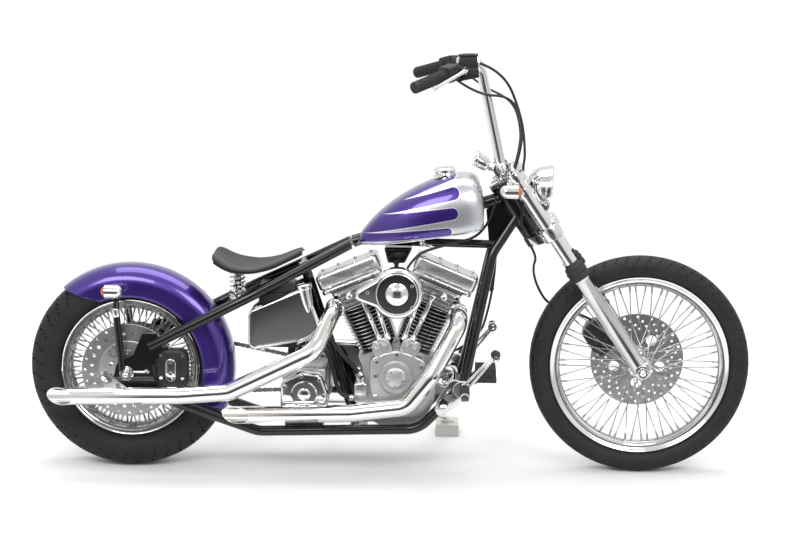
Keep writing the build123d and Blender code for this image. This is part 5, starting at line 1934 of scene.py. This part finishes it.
@dataclass
class Driveline:
    """Gearbox, primary cover, chain, sprocket, rear caliper and axle nuts."""

    wheel_r: float = 114.0
    gear_r: float = 48.0
    gear: tuple[float, float] = (545.0, 272.0)
    chain_y: float = 87.0
    teeth: int = 44
    link_pair: float = 32.0
    disc_gap_r: float = 154.0

    def build(self) -> None:
        """Builds and dresses the driveline."""
        self.build_gearbox()
        self.build_primary()
        self.build_sprocket()
        self.build_chain()
        self.build_caliper()
        self.build_axle()

    def build_gearbox(self) -> None:
        """Builds the gearbox case with its ribs, and its polished end cover."""
        case = Bench.slab([(478, 182), (478, 322), (560, 336), (612, 330), (612, 182)], -92, 72, 7, 3)
        foot = Bench.slab([(486, 148), (486, 186), (606, 186), (606, 148)], -100, 100, 3, 2)
        shaft = Bench.rod((545, 60, 272), (545, 102, 272), 20, 32, 2)
        gear = Bench.lathe(
            [(0, 18), (0, 42), (1, 44), (6, 46), (9, 44), (10, 42), (10, 18)], (545, 82, 272), ACROSS, 40,
            closed=True
        )
        ribs = []
        for x in (500, 525, 550, 575, 598):
            ribs.append(Bench.slab([(x, 320), (x, 336), (x + 5, 336), (x + 5, 320)], -84, 64, 1.5, 2))
        deliver([case, foot, shaft, gear, *ribs], "gearbox_case", "engine_aluminium", "gearbox")
        side = [
            (475, 204), (475, 291), (486, 303), (540, 330), (590, 324), (602, 312), (620, 262), (612, 200),
            (600, 192), (488, 192)
        ]
        cover = Bench.slab(side, -90, -140, 9, 4)
        disc = Bench.lathe(
            [(0, 0), (0, 40), (3, 40), (6, 37), (6, 20), (10, 18), (12, 14), (12, 0)], (548, -140, 262),
            -ACROSS, 48
        )
        bolts = []
        for x, z in ((486, 212), (488, 284), (540, 316), (594, 306), (608, 258), (600, 208), (544, 202)):
            bolts.append(
                Bench.lathe(
                    [(0, 0), (0, 6), (5, 6), (6.5, 4.8), (6.5, 2.6), (3, 2.6), (3, 0)], (x, -139, z),
                    -ACROSS, 18
                )
            )
        deliver([cover, disc, *bolts], "gearbox_end_cover", "chrome")

    def build_primary(self) -> None:
        """Builds the long cover over the primary drive, with its round lid, screws and the clutch cable."""
        side = []
        for centre, radius, first, last in (((828, 272), 100, -88, 88), ((560, 276), 104, 92, 268)):
            for step in range(25):
                turn = math.radians(first + (last - first) * step / 24)
                side.append((centre[0] + radius * math.cos(turn), centre[1] + radius * math.sin(turn)))
        cover = Bench.slab(side, 102, 150, 14, 5)
        case = Bench.rod((828, 70, 272), (828, 104, 272), 70, 48, 2)
        lid = Bench.lathe(
            [(0, 0), (0, 62), (3, 62), (6, 59), (7, 52), (5.5, 50), (5.5, 0)], (568, 149, 276), ACROSS, 64
        )
        plug = Bench.lathe([(0, 0), (0, 34), (2, 34), (4, 31), (4, 0)], (828, 149, 272), ACROSS, 48)
        deliver([cover, case, lid, plug], "primary_case", "chrome", "primary_cover")
        screws = []
        for x, z in (
            (480, 236), (480, 316), (520, 366), (600, 366), (690, 366), (780, 360), (870, 346), (912, 300),
            (912, 244), (870, 198), (780, 184), (690, 182), (600, 184), (520, 186)
        ):
            screws.append(
                Bench.lathe(
                    [(-4, 0), (-4, 6), (3, 6), (4.4, 5), (4.4, 2.8), (1.5, 2.8), (1.5, 0)], (x, 148, z),
                    ACROSS, 18
                )
            )
        for turn in range(5):
            angle = math.radians(72 * turn + 18)
            at = Vector((568 + 54 * math.cos(angle), 154, 276 + 54 * math.sin(angle)))
            screws.append(Bench.lathe([(0, 0), (0, 4.4), (2.6, 4.4), (3.4, 3.4), (3.4, 0)], at, ACROSS, 14))
        deliver(screws, "primary_screws", "polished_steel")
        route = [(1128, 46, 865), (1138, 64, 690), (1124, 96, 520), (1080, 140, 356), (915, 140, 306)]
        cable = Bench.cable([Vector(p) for p in route], 4)
        deliver(cable, "clutch_cable_lower", "braided_hose", angle=60)
        low = Vector((1122, 92, 548))
        high = Vector((1130, 66, 682))
        ribs = [(0, 0), (0, 6)]
        for step in range(13):
            ribs += [(3 + step * 10, 6), (5 + step * 10, 9), (8 + step * 10, 9), (10 + step * 10, 6)]
        ribs += [(136, 6), (136, 0)]
        deliver(Bench.lathe(ribs, low, high - low, 20), "cable_boot", "grip_rubber", angle=40)

    def build_sprocket(self) -> None:
        """Cuts the rear sprocket's teeth and lightening holes."""
        outline = []
        for tooth in range(self.teeth):
            for share, radius in ((-0.30, 108.5), (-0.12, 116), (0.12, 116), (0.30, 108.5)):
                turn = math.tau * (tooth + share) / self.teeth
                outline.append((REAR_AXLE.x + radius * math.cos(turn), REAR_AXLE.z + radius * math.sin(turn)))
        wheel = Bench.slab(outline, 84, 90)
        cutters = []
        for ring_r, count, hole_r in ((76, 5, 21), (0.01, 1, 40)):
            at = Vector((ring_r, self.chain_y, REAR_AXLE.z))
            cutter = Bench.rod(at - ACROSS * 20, at + ACROSS * 20, hole_r, 40, 0.5)
            cutters.append(Bench.repeat(cutter, spun(REAR_AXLE, count, 18)))
        Bench.cut(wheel, Bench.join(cutters))
        hub = Bench.lathe(
            [(50, 21), (50, 44), (84, 46), (88, 56), (92, 56), (93, 50), (93, 21)], REAR_AXLE, ACROSS, 64,
            closed=True
        )
        bolt = Bench.lathe(
            [(90, 0), (90, 7), (98, 7), (100, 5), (100, 0)], REAR_AXLE + Vector((49, 0, 0)), ACROSS, 6
        )
        bolts = Bench.repeat(bolt, spun(REAR_AXLE, 5, 54))
        deliver(
            [wheel, hub, bolts], "toothed_sprocket", "brushed_steel", "rear_sprocket",
            body=Body.REAR_WHEEL, angle=30
        )

    def chain_runs(self) -> tuple[float, float, float, float]:
        """Works out the parts of the chain's loop.

        Returns:
            The angle between the sprockets' line and each end of a straight run, a straight run's length,
            and the lengths of the arcs round the gearbox's sprocket and the wheel's.
        """
        far = math.hypot(self.gear[0] - REAR_AXLE.x, self.gear[1] - REAR_AXLE.z)
        turn = math.acos((self.wheel_r - self.gear_r) / far)
        run = math.sqrt(far * far - (self.wheel_r - self.gear_r) ** 2)
        return turn, run, self.gear_r * 2 * turn, self.wheel_r * (math.tau - 2 * turn)

    def chain_place(self, along: float) -> Vector:
        """Gives the place at a distance along the chain's loop.

        Args:
            along: Distance from the start of the upper run, at the rear sprocket.

        Returns:
            The place.
        """
        gear = Vector((self.gear[0], 0, self.gear[1]))
        span = gear - REAR_AXLE
        slope = math.atan2(span.z, span.x)
        turn, run, front, back = self.chain_runs()
        along %= 2 * run + front + back
        arcs = (
            (gear, self.gear_r, slope + turn, run, front),
            (REAR_AXLE, self.wheel_r, slope - turn, 2 * run + front, back),
        )
        for centre, radius, start, first, length in arcs:
            if first <= along <= first + length:
                angle = start - (along - first) / radius
                return centre + Vector((math.cos(angle), 0, math.sin(angle))) * radius
        upper = along < run
        angle = slope + turn if upper else slope - turn
        out = Vector((math.cos(angle), 0, math.sin(angle)))
        wheel_end = REAR_AXLE + out * self.wheel_r
        gear_end = gear + out * self.gear_r
        if upper:
            return wheel_end + (gear_end - wheel_end) * (along / run)
        return gear_end + (wheel_end - gear_end) * ((along - run - front) / run)

    def build_chain(self) -> None:
        """Models one pair of chain links and repeats it round the sprockets."""
        _, run, front, back = self.chain_runs()
        loop = 2 * run + front + back
        count = 2 * round(loop / self.link_pair)
        pitch = loop / count
        links = []
        for near, shift in ((-6.6, 0), (5.2, 0), (-5.0, pitch), (3.6, pitch)):
            side = [
                (-5.5, -2.4), (-3, -5.4), (3, -5.4), (8, -3.6), (pitch - 3, -5.4), (pitch + 3, -5.4),
                (pitch + 5.5, -2.4),
                (pitch + 5.5, 2.4), (pitch + 3, 5.4), (pitch - 3, 5.4), (8, 3.6), (3, 5.4), (-3, 5.4),
                (-5.5, 2.4)
            ]
            links.append(Bench.slab([(x + shift, z) for x, z in side], near, near + 1.4))
        for shift in (0, pitch):
            links.append(Bench.rod((shift, -7, 0), (shift, 7, 0), 4, 8, 0.4))
        link = Bench.join(links)
        places = []
        for step in range(count // 2):
            here = self.chain_place(step * 2 * pitch)
            way = (self.chain_place((step * 2 + 1) * pitch) - here).normalized()
            basis = Matrix((way, ACROSS, way.cross(ACROSS))).transposed().to_4x4()
            places.append(Matrix.Translation(here + ACROSS * self.chain_y) @ basis)
        deliver(Bench.repeat(link, places), "roller_chain", "chain_steel", "drive_chain")

    def build_caliper(self) -> None:
        """Builds the rear caliper with its polished plate and bolts."""
        side = [
            (78, 37), (92, 56), (110, 69), (168, 69), (180, 58), (186, 40), (186, -30), (180, -40),
            (168, -47), (98, -47), (84, -25)
        ]
        body = Bench.slab([(x, REAR_AXLE.z + z) for x, z in side], -104, -50, 6, 3)
        gap = Bench.rod(REAR_AXLE - ACROSS * 68, REAR_AXLE - ACROSS * 86, self.disc_gap_r, 96, 0.5)
        Bench.cut(body, gap)
        arm = Bench.slab(
            [(-4, 341), (40, 338), (96, 340), (96, 292), (40, 294), (-4, 289)], -94, -104, 2.5, 2
        )
        ring = Bench.lathe(
            [(0, 16), (0, 28), (10, 28), (10, 16)], REAR_AXLE - ACROSS * 94, -ACROSS, 40, closed=True
        )
        deliver([body, arm, ring], "rear_caliper_body", "caliper_black", "rear_caliper")
        pieces = []
        outline = []
        for middle, first in ((18, 0), (-18, 180)):
            for step in range(13):
                turn = math.radians(first + 15 * step)
                outline.append((134 + 16.5 * math.cos(turn), REAR_AXLE.z + 8 + middle + 18 * math.sin(turn)))
        pieces.append(Bench.slab(outline, -103, -110, 2.5, 3))
        for x, z in ((134, 26), (134, -10), (104, 46), (170, 44), (170, -28), (104, -24)):
            at = Vector((x, -109 if x == 134 else -103, REAR_AXLE.z + 8 + z))
            section = [(0, 0), (0, 6), (4, 6), (5.5, 5), (5.5, 3), (2.5, 3), (2.5, 0)]
            pieces.append(Bench.lathe(section, at, -ACROSS, 18))
        deliver(pieces, "rear_caliper_trim", "chrome")

    def build_axle(self) -> None:
        """Turns the rear axle's acorn nuts and washers, and the chain adjusters."""
        pieces = []
        for side in (-1, 1):
            end = REAR_AXLE + ACROSS * side * 121
            washer = [(0, 0), (0, 22), (2.5, 22), (3, 21), (3, 0)]
            pieces.append(Bench.lathe(washer, end, ACROSS * side, 40))
            section = [(2, 0), (2, 17), (4, 18.5), (16, 18.5), (18, 17), (18, 0)]
            pieces.append(Bench.lathe(section, end, ACROSS * side, 6))
            section = [(17, 0), (17, 13), (24, 12.5), (29, 9.5), (32, 5), (33, 0)]
            pieces.append(Bench.lathe(section, end, ACROSS * side, 28))
            start = Vector((16, side * 119, REAR_AXLE.z + 4))
            pieces.append(Bench.rod(start, start + Vector((54, 0, 0)), 4, 16, 0.8))
            section = [(0, 0), (0, 8), (9, 8), (10, 7), (10, 0)]
            pieces.append(Bench.lathe(section, start + Vector((40, 0, 0)), (1, 0, 0), 6))
            knee = Vector((-32, side * 108, REAR_AXLE.z + 190))
            pieces.append(Bench.rod(knee - Vector((-1, 0, 16)), knee + Vector((-2, 0, 10)), 12.6, 28, 1.5))
            pieces.append(Bench.rod(knee + Vector((-14, 0, 6)), knee + Vector((10, 0, 6)), 5, 16, 1))
        deliver(pieces, "axle_nuts", "chrome")


@dataclass
class Fittings:
    """Oil tank, battery, coil, filter, regulator, hoses and the foot controls."""

    oil_hose_r: float = 7.0
    rib_pitch: float = 8.0

    def build(self) -> None:
        """Builds and dresses the boxes, hoses and pegs."""
        self.build_oil_tank()
        self.build_boxes()
        self.build_filter()
        self.build_hoses()
        self.build_foot_controls()

    def build_oil_tank(self) -> None:
        """Builds the wrap-round oil tank with its filler spout and cap."""
        side = [
            (377, 420), (377, 508), (386, 520), (400, 526), (530, 583), (546, 584), (556, 572), (603, 450),
            (600, 440), (588, 436), (400, 399), (384, 404)
        ]
        tank = Bench.slab(side, -142, 142, 12, 5)
        pocket = Bench.slab([(402, 380), (402, 620), (640, 620), (640, 380)], -84, 84)
        Bench.cut(tank, pocket)
        spout = [(0, 0), (0, 9), (30, 15), (70, 19), (98, 20), (98, 0)]
        foot = Vector((566, -128, 492))
        way = Vector((547, -128, 592)) - foot
        neck = Bench.lathe(spout, foot, way, 32)
        cap = Bench.lathe([(97, 0), (97, 23), (101, 24), (110, 24), (113, 20), (114, 0)], foot, way, 32)
        drain = Bench.rod((420, -110, 408), (420, -110, 392), 8, 20, 1)
        deliver([tank, neck, cap, drain], "wrapped_oil_tank", "chrome", "oil_tank")

    def build_boxes(self) -> None:
        """Builds the battery with its lid, the coil with its towers, and the finned regulator."""
        box = Bench.slab([(404, 422), (404, 566), (508, 566), (508, 422)], -76, 76, 4, 3)
        lid = Bench.slab([(402, 567), (402, 580), (510, 580), (510, 567)], -78, 78, 3, 2)
        tray = Bench.slab([(404, 395), (404, 420), (520, 420), (520, 395)], -84, 84, 2, 2)
        rod = Bench.rod((500, 0, 326), (500, 0, 400), 12, 20, 1)
        deliver([box, lid, tray, rod], "battery_box", "black_plastic", "battery")
        coil = Bench.slab([(787, 700), (874, 700), (851, 654), (799, 654)], -33, 33, 5, 3)
        towers = []
        for y in (-16, 16):
            towers.append(
                Bench.lathe(
                    [(0, 0), (0, 9), (8, 9), (9, 6.5), (18, 6.5), (19, 4), (19, 0)], (825, y, 656),
                    (0, 0, -1), 20
                )
            )
        deliver([coil, *towers], "coil_case", "frame_black", "coil_bracket", slot="chrome")
        parts = [Bench.slab([(1072, 284), (1072, 300), (1140, 300), (1140, 284)], -58, 58, 3, 2)]
        for step in range(10):
            y = -54 + step * 11.3
            parts.append(Bench.slab([(1074, 299), (1074, 326), (1138, 326), (1138, 299)], y, y + 5, 1, 1))
        parts.append(Bench.slab([(1042, 262), (1042, 282), (1080, 300), (1080, 284)], -58, 58, 2, 2))
        deliver(parts, "finned_regulator", "cast_black", "regulator")

    def build_filter(self) -> None:
        """Turns the oil filter with its rounded end and nut, on its mount."""
        steps = [
            (10, 0), (10, 38), (24, 38), (26, 36.5), (30, 36.5), (32, 38), (82, 38), (90, 36), (96, 31),
            (99, 24), (100, 14), (100, 0)
        ]
        can = Bench.lathe(steps, (981, 0, 314), -ACROSS, 48)
        nut = Bench.lathe([(99, 0), (99, 13), (107, 13), (108, 12), (108, 0)], (981, 0, 314), -ACROSS, 6)
        mount = Bench.slab([(945, 290), (945, 330), (912, 330), (912, 290)], -72, -12, 4, 2)
        deliver([can, nut, mount], "oil_filter_can", "chrome", "oil_filter")

    def build_hoses(self) -> None:
        """Draws the two oil hoses between the tank and the pump."""
        hoses = []
        ends = []
        routes = (
            (
                (560, -118, 452), (614, -96, 440), (640, -88, 409), (661, -84, 374), (696, -80, 339),
                (724, -86, 306)
            ),
            (
                (548, -112, 440), (600, -98, 420), (635, -88, 338), (644, -84, 275), (666, -82, 240),
                (702, -86, 238)
            ),
        )
        for route in routes:
            points = [Vector(p) for p in route]
            hoses.append(Bench.cable(points, self.oil_hose_r))
            for end, onward in ((points[0], points[1]), (points[-1], points[-2])):
                way = (onward - end).normalized()
                ends.append(Bench.lathe([(4, 7), (4, 9), (16, 9), (16, 7)], end, way, 20, closed=True))
        deliver(hoses, "oil_hoses", "braided_hose", angle=60)
        deliver(ends, "hose_clips", "polished_steel")

    def build_foot_controls(self) -> None:
        """Builds the forward plates, the pegs with rubber rings, and the toe levers."""
        plates = []
        pegs = []
        rubbers = []
        side = [
            (949, 232), (957, 216), (969, 208), (985, 222), (1051, 268), (1053, 312), (1040, 322),
            (1025, 322), (1002, 326), (990, 314), (972, 290), (956, 262)
        ]
        for way in (-1, 1):
            plate = Bench.slab(side, way * 184, way * 196, 2.5, 3)
            for window in (
                [(985, 295), (1000, 297), (1000, 279), (985, 273)],
                [(964, 262), (975, 268), (992, 254), (982, 236), (962, 240)]
            ):
                Bench.cut(plate, Bench.slab(window, way * 170, way * 210))
            joint = Bench.lathe(
                [(-14, 0), (-14, 22), (-2, 24), (8, 24), (10, 22), (10, 0)], (1028, way * 190, 296),
                ACROSS * way, 40
            )
            reach = Bench.rod((976, way * 113, 206), (976, way * 190, 238), 11, 24, 1)
            plates += [plate, joint, reach]
            levers = []
            for shift in (-7, 7):
                start = Vector((1036 + shift * 0.6, way * 203, 296 - shift))
                end = Vector((1128, way * 206, 404 - shift * 0.8))
                levers.append(Bench.rod(start, end, 4.5, 16, 1.5))
            ring = Bench.lathe(
                [(-6, 6), (-6, 14), (-4, 15), (4, 15), (6, 14), (6, 6)], (1131, way * 206, 408), ACROSS, 32,
                closed=True
            )
            peg = Bench.rod((1039, way * 196, 300), (1039, way * 330, 300), 13, 32, 2)
            toe = Bench.rod((1131, way * 196, 408), (1131, way * 268, 408), 8, 24, 1.5)
            tip = Bench.lathe(
                [(-4, 0), (-4, 15), (2, 15), (5, 12), (6, 0)], (1039, way * 325, 300), ACROSS * way, 32
            )
            pegs += [*levers, ring, peg, toe, tip]
            for first, last, centre, radius in ((212, 318, (1039, 300), 15), (214, 266, (1131, 408), 11)):
                rings = [(first, radius - 4)]
                for step in range(int((last - first) / self.rib_pitch)):
                    low = first + step * self.rib_pitch
                    rings += [
                        (low, radius - 1.5), (low + 1, radius), (low + 5, radius), (low + 6, radius - 1.5)
                    ]
                rings += [(last, radius - 1.5), (last, radius - 4)]
                rubbers.append(Bench.lathe(rings, (centre[0], 0, centre[1]), ACROSS * way, 28, closed=True))
        deliver(plates, "forward_plates", "polished_steel", "foot_controls")
        deliver(pegs, "pegs_and_levers", "chrome")
        deliver(rubbers, "peg_rubbers", "grip_rubber")


@dataclass
class Studio:
    """Camera, lamps, world and floor."""

    camera_at: Vector
    pitch: float
    yaw: float
    roll: float
    focal_px: float
    width_px: float = 800.0

    def build(self) -> None:
        """Sets up the whole studio."""
        self.build_camera()
        self.build_world()
        self.build_floor()
        self.build_lamps()

    def build_camera(self) -> None:
        """Places the camera at the photograph's viewpoint."""
        bpy.ops.object.select_all(action="DESELECT")
        bpy.ops.object.camera_add()
        camera = bpy.context.object
        flat = math.cos(self.pitch)
        ahead = Vector((math.sin(self.yaw) * flat, math.cos(self.yaw) * flat, -math.sin(self.pitch)))
        right = Vector((math.cos(self.yaw), -math.sin(self.yaw), 0))
        up = right.cross(ahead)
        turned_right = math.cos(self.roll) * right + math.sin(self.roll) * up
        turned_up = math.cos(self.roll) * up - math.sin(self.roll) * right
        turn = Matrix((turned_right, turned_up, -ahead)).transposed()
        upright = MACHINE.to_3x3().normalized()
        camera.matrix_world = Matrix.Translation(MACHINE @ self.camera_at) @ (upright @ turn).to_4x4()
        camera.data.sensor_width = 36
        camera.data.lens = 36 * self.focal_px / self.width_px
        camera.data.clip_end = 60
        bpy.context.scene.camera = camera

    def build_world(self) -> None:
        """Makes the white backdrop, and the studio's darker near side that metal also shows."""
        world = bpy.data.worlds.new("studio")
        bpy.context.scene.world = world
        tree = NodeTree(world, "Background")
        parts = tree.add("SeparateXYZ", Vector=tree.add("TexCoord").outputs["Generated"])
        height = tree.add("MapRange", i0=parts.outputs[2], i1=-1.0).outputs[0]
        ramp = tree.add("ValToRGB", Fac=height)
        # share of the way from straight down to straight up, brightness
        stops = (
            (0.0, 0.30), (0.40, 0.16), (0.49, 0.06), (0.57, 0.10), (0.64, 0.45), (0.72, 0.90), (0.92, 0.80)
        )
        bands = ramp.color_ramp.elements
        bands[1].position = stops[-1][0]
        bands[1].color = grey(stops[-1][1])
        bands[0].color = grey(stops[0][1])
        for share, level in stops[1:-1]:
            bands.new(share).color = grey(level)
        screens = tree.ramp(tree.math("ABSOLUTE", parts.outputs[0]), 0.28, 0.55, 0.75)
        behind = tree.ramp(parts.outputs[1], 0.02, 0.30, 0.62)
        room = tree.blend(screens, ramp.outputs[0], grey(1))
        room = tree.blend(behind, room, grey(1))
        rays = tree.add("LightPath").outputs
        seen = tree.math("MAXIMUM", rays["Is Camera Ray"], rays["Is Transmission Ray"])
        seen = tree.math("MAXIMUM", seen, tree.math("MULTIPLY", rays["Is Glossy Ray"], behind))
        tree.put(Color=tree.blend(seen, room, grey(1)), Strength=1.0)

    def build_floor(self) -> None:
        """Lays a pale sheet that is white to the camera and keeps the machine's shadow."""
        bpy.ops.object.select_all(action="DESELECT")
        bpy.ops.mesh.primitive_grid_add(
            x_subdivisions=80, y_subdivisions=80, size=16, location=(0, 6.6, -0.0005)
        )
        floor = bpy.context.object
        floor.name = "floor_sheet"
        bpy.ops.object.transform_apply(location=True)
        shader = Shader("floor_sheet")
        folds = shader.noise(1.6, 3)
        far = shader.add("SeparateXYZ", Vector=shader.spot()).outputs[1]
        fade = shader.ramp(far, 0.8, 4.0)
        rays = shader.add("LightPath").outputs
        seen = shader.math("MAXIMUM", rays["Is Camera Ray"], rays["Is Glossy Ray"])
        seen = shader.math("MAXIMUM", seen, rays["Is Transmission Ray"])
        shader.put(Emission_Color=grey(1), Emission_Strength=shader.math("MULTIPLY", fade, seen))
        cloth = shader.blend(shader.spread(folds, 0, 1), (0.82, 0.83, 0.84, 1), (0.76, 0.77, 0.78, 1))
        shader.put(Base_Color=shader.blend(fade, cloth, grey(0)), Roughness=0.8)
        shader.bump(folds, 0.15, 0.02)
        floor.data.materials.append(shader.material)

    def build_lamps(self) -> None:
        """Hangs three large soft boxes."""
        # place, size, watts
        lamps = (
            ((-1.6, -3.6, 3.4), (2.6, 1.6), 90), ((2.0, -3.2, 3.2), (2.2, 1.6), 70),
            ((0, 0.6, 4.2), (4.0, 2.6), 110)
        )
        for index, (place, size, power) in enumerate(lamps):
            bpy.ops.object.light_add(type="AREA", location=place)
            lamp = bpy.context.object
            lamp.name = f"soft_box_{index}"
            lamp.data.shape = "RECTANGLE"
            lamp.data.size = size[0]
            lamp.data.size_y = size[1]
            lamp.data.energy = power
            aim = Vector((0, 0, 0.45)) - Vector(place)
            lamp.rotation_euler = aim.to_track_quat("-Z", "Y").to_euler()


# finishes of the CAD nodes that aren't chrome
NODE_FINISHES = {
    "frame_black": (
        "frame_spine", "frame_rails", "frame_stays", "frame_seat_post", "frame_cross_tubes", "fender_struts"
    ),
    "pipe_chrome": ("exhaust_pipes",),
    "chain_steel": ("drive_chain",),
    "brushed_steel": ("rear_sprocket", "rear_disc", "front_disc"),
    "engine_aluminium": ("crankcase", "cam_cover", "carburettor"),
    "brushed_aluminium": ("rocker_covers", "fork_sliders"),
    "cast_black": ("cylinders", "cylinder_heads", "regulator"),
    "caliper_black": ("rear_caliper", "front_caliper"),
    "purple_paint": ("rear_fender",),
    "scallop_paint": ("fuel_tank",),
    "black_plastic": ("battery", "hand_controls"),
    "grip_rubber": ("grips",),
    "tyre_rubber": ("rear_tyre", "front_tyre"),
    "black_vinyl": ("seat",),
    "wood_block": ("stand_block",),
    "amber_lens": ("rear_signal_lenses", "front_signal_lenses"),
    "clear_glass": ("headlight_lens",),
}


def dress_nodes() -> None:
    """Gives every CAD node its finish."""
    chosen = {node: finish for finish, nodes in NODE_FINISHES.items() for node in nodes}
    for node, obj in frame["nodes"].items():
        obj.data.materials.clear()
        obj.data.materials.append(Shop.get(chosen.get(node, "chrome")))


def main() -> None:
    """Builds the classes in order and reports each piece."""
    logging.basicConfig(level=logging.INFO, format="%(message)s")
    scene = bpy.context.scene
    scene.view_settings.view_transform = "Standard"
    Studio(
        camera_at=Vector((959, -6076, 1712)),
        pitch=math.radians(10.05),
        yaw=math.radians(-1.16),
        roll=math.radians(0.54),
        focal_px=1990.2,
    ).build()
    dress_nodes()
    LacedWheel("rear", Body.REAR_WHEEL, REAR_AXLE, 315, 65, 217, 45, 55, 30, 34, 47, 20, 42, -77, 40).build()
    LacedWheel(
        "front", Body.FRONT_WHEEL, FRONT_AXLE, 341, 43, 280, 31, 50, 22, 30, 38, 15, 38, 60, 60
    ).build()
    Engine().build()
    Exhausts().build()
    Bodywork().build()
    FrontEnd().build()
    Controls().build()
    Driveline().build()
    Fittings().build()


if __name__ == "__main__":
    main()
